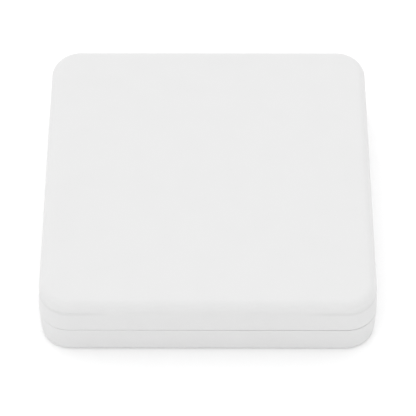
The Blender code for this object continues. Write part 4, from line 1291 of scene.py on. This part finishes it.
def make_inlet_tongue():
    """The contact tongue: a block at its root, a thin plate and twelve contacts on each face."""
    core, z = CAD["inlet_tongue"], CAD["inlet_shell"].middle.z
    thick, pitch, contact_half = 0.35 * MM, 0.5 * MM, 0.12 * MM
    root = core.low.y + 1.6 * MM
    tongue = eased_slab("plate", (-3.35 * MM, root - 0.3 * MM, z - thick),
                        (3.35 * MM, core.high.y, z + thick), 0.192 * MM, 0.16 * MM, 3, 3)
    combine(tongue, eased_slab("root", (-3.45 * MM, core.low.y, z - 0.95 * MM),
                               (3.45 * MM, root, z + 0.95 * MM), 0.12 * MM, 0.1 * MM, 3, 3),
            "UNION")
    pieces = [paint(tongue, "black_resin")]
    for face in (-1, 1):
        for i in range(12):
            x = (i - 5.5) * pitch
            pieces.append(cast("contact_gold",
                               (x - contact_half, root + 0.1 * MM, z + face * (thick - 0.05 * MM)),
                               (x + contact_half, core.high.y - 0.7 * MM,
                                z + face * (thick + COPPER)), 0.02 * MM, 1))
    stand_for(merge("inlet_tongue_contacts", pieces), "inlet_tongue")


def make_light_pipe():
    """A clear rod with a domed outer end."""
    place = CAD["light_pipe"]
    radius, length, dome, ease = place.half.x, 2 * place.half.y, 0.22 * MM, 0.1 * MM
    profile = [(radius * rise, length - dome * inset) for inset, rise in arc(1.0, 0, 90, 6)]
    profile += [(radius, ease), (radius - ease, 0.0), (0.0, 0.0)]
    pipe = lathe("light_pipe_rod", profile, 40)
    stand_for(move(pipe, place.middle.x, place.low.y, place.middle.z, REARWARD), "light_pipe")


# ---------------------------------------------------------------- camera, light and floor
# The camera's angles in degrees, and its distance, focal length and aim in widths of the pad
CAMERA_ELEVATION = 53.20
CAMERA_AZIMUTH = 0.21
CAMERA_ROLL = 0.11
CAMERA_WIDTHS_AWAY = 6.259
LENS_WIDTHS = 4.884
SENSOR_WIDTH = 36.0
AIM_RIGHT = -0.0006
AIM_UP = -0.0437
AIM_BELOW_TOP = 9.79 * MM


def make_camera():
    elevation, roll = math.radians(CAMERA_ELEVATION), math.radians(CAMERA_ROLL)
    spin = Matrix.Rotation(math.radians(CAMERA_AZIMUTH), 3, "Z")
    right = spin @ Vector((1.0, 0.0, 0.0))
    forward = spin @ Vector((0.0, math.cos(elevation), -math.sin(elevation)))
    up = right.cross(forward)
    middle = Vector((0.0, 0.0, TOP_Z - AIM_BELOW_TOP))
    place = middle + (AIM_RIGHT * right + AIM_UP * up - CAMERA_WIDTHS_AWAY * forward) * 2 * HALF
    level_right = right * math.cos(roll) - up * math.sin(roll)
    level_up = right * math.sin(roll) + up * math.cos(roll)
    turn = Matrix((level_right, level_up, -forward)).transposed().to_4x4()
    camera = bpy.data.cameras.new("camera")
    camera.sensor_width = SENSOR_WIDTH
    camera.lens = SENSOR_WIDTH * LENS_WIDTHS
    camera.clip_start = 0.01
    camera.clip_end = 50.0
    holder = bpy.data.objects.new("camera", camera)
    holder.matrix_world = Matrix.Translation(place) @ turn
    bpy.context.scene.collection.objects.link(holder)
    bpy.context.scene.camera = holder


# Strength of the soft light from straight above, and from four sides at three heights
ZENITH = 1.40
SIDES = {"front": (0.0, -1.0), "back": (0.0, 1.0), "left": (-1.0, 0.0), "right": (1.0, 0.0)}
LOW_LIGHT = {"front": 1.18, "back": 1.04, "left": 1.03, "right": 0.94}
MID_LIGHT = {"front": 1.20, "back": 1.31, "left": 1.17, "right": 0.92}
HIGH_LIGHT = {"front": 1.06, "back": 1.74, "left": 1.37, "right": 1.24}
LOW_HEIGHT, MID_HEIGHT, HIGH_HEIGHT, TOP_HEIGHT = 0.0, 25.0, 55.0, 90.0


def make_world():
    """A soft studio dome whose strength turns smoothly between the named directions."""
    world = bpy.data.worlds.new("studio")
    world.use_nodes = True
    tree = Tree(world.node_tree)
    maths, background = tree.maths, tree.nodes["Background"]
    background.inputs["Color"].default_value = (1.0, 1.0, 1.0, 1.0)
    x, y, z = tree.split(tree.node("TexCoord", output="Generated"))
    height = maths("MULTIPLY", maths("ARCSINE", maths("MINIMUM", z, 1.0)), 180 / math.pi)
    level = maths("ADD", maths("MULTIPLY", x, x), maths("MULTIPLY", y, y))
    level = maths("MAXIMUM", level, 1e-6)

    def from_sides(strengths):
        total = 0.0
        for side, (side_x, side_y) in SIDES.items():
            along = maths("ADD", maths("MULTIPLY", x, side_x), maths("MULTIPLY", y, side_y))
            along = maths("MAXIMUM", along, 0.0)
            share = maths("DIVIDE", maths("MULTIPLY", along, along), level)
            total = maths("ADD", total, maths("MULTIPLY", share, strengths[side]))
        return total

    strength, start = from_sides(LOW_LIGHT), LOW_HEIGHT
    for above, end in ((from_sides(MID_LIGHT), MID_HEIGHT), (from_sides(HIGH_LIGHT), HIGH_HEIGHT),
                       (ZENITH, TOP_HEIGHT)):
        share = maths("DIVIDE", maths("SUBTRACT", height, start), end - start, True)
        kept = maths("MULTIPLY", strength, maths("SUBTRACT", 1.0, share))
        strength, start = maths("ADD", kept, maths("MULTIPLY", above, share)), end
    tree.links.new(strength, background.inputs["Strength"])
    bpy.context.scene.world = world


def make_floor():
    bm = bmesh.new()
    bmesh.ops.create_grid(bm, x_segments=8, y_segments=8, size=6.0)
    floor = to_object("studio_floor", bm)
    floor.data.materials.append(Finish("studio_floor", (0.95, 0.95, 0.95), 0.9,
                                       specular=0.0).material)


# ---------------------------------------------------------------- the object
for make_part in (make_camera, make_world, make_floor, make_top_shell, make_bottom_shell,
                  make_feet, make_screws, make_coil, make_leads, make_sensor, make_coil_tape,
                  make_sheets, make_foam, make_tray, make_board, make_chips,
                  make_chip_capacitors, make_cased_parts, make_magnetics, make_crystal,
                  make_status_led, make_inlet_can, make_inlet_tongue, make_light_pipe):
    make_part()

bpy.context.scene.view_settings.view_transform = "Standard"
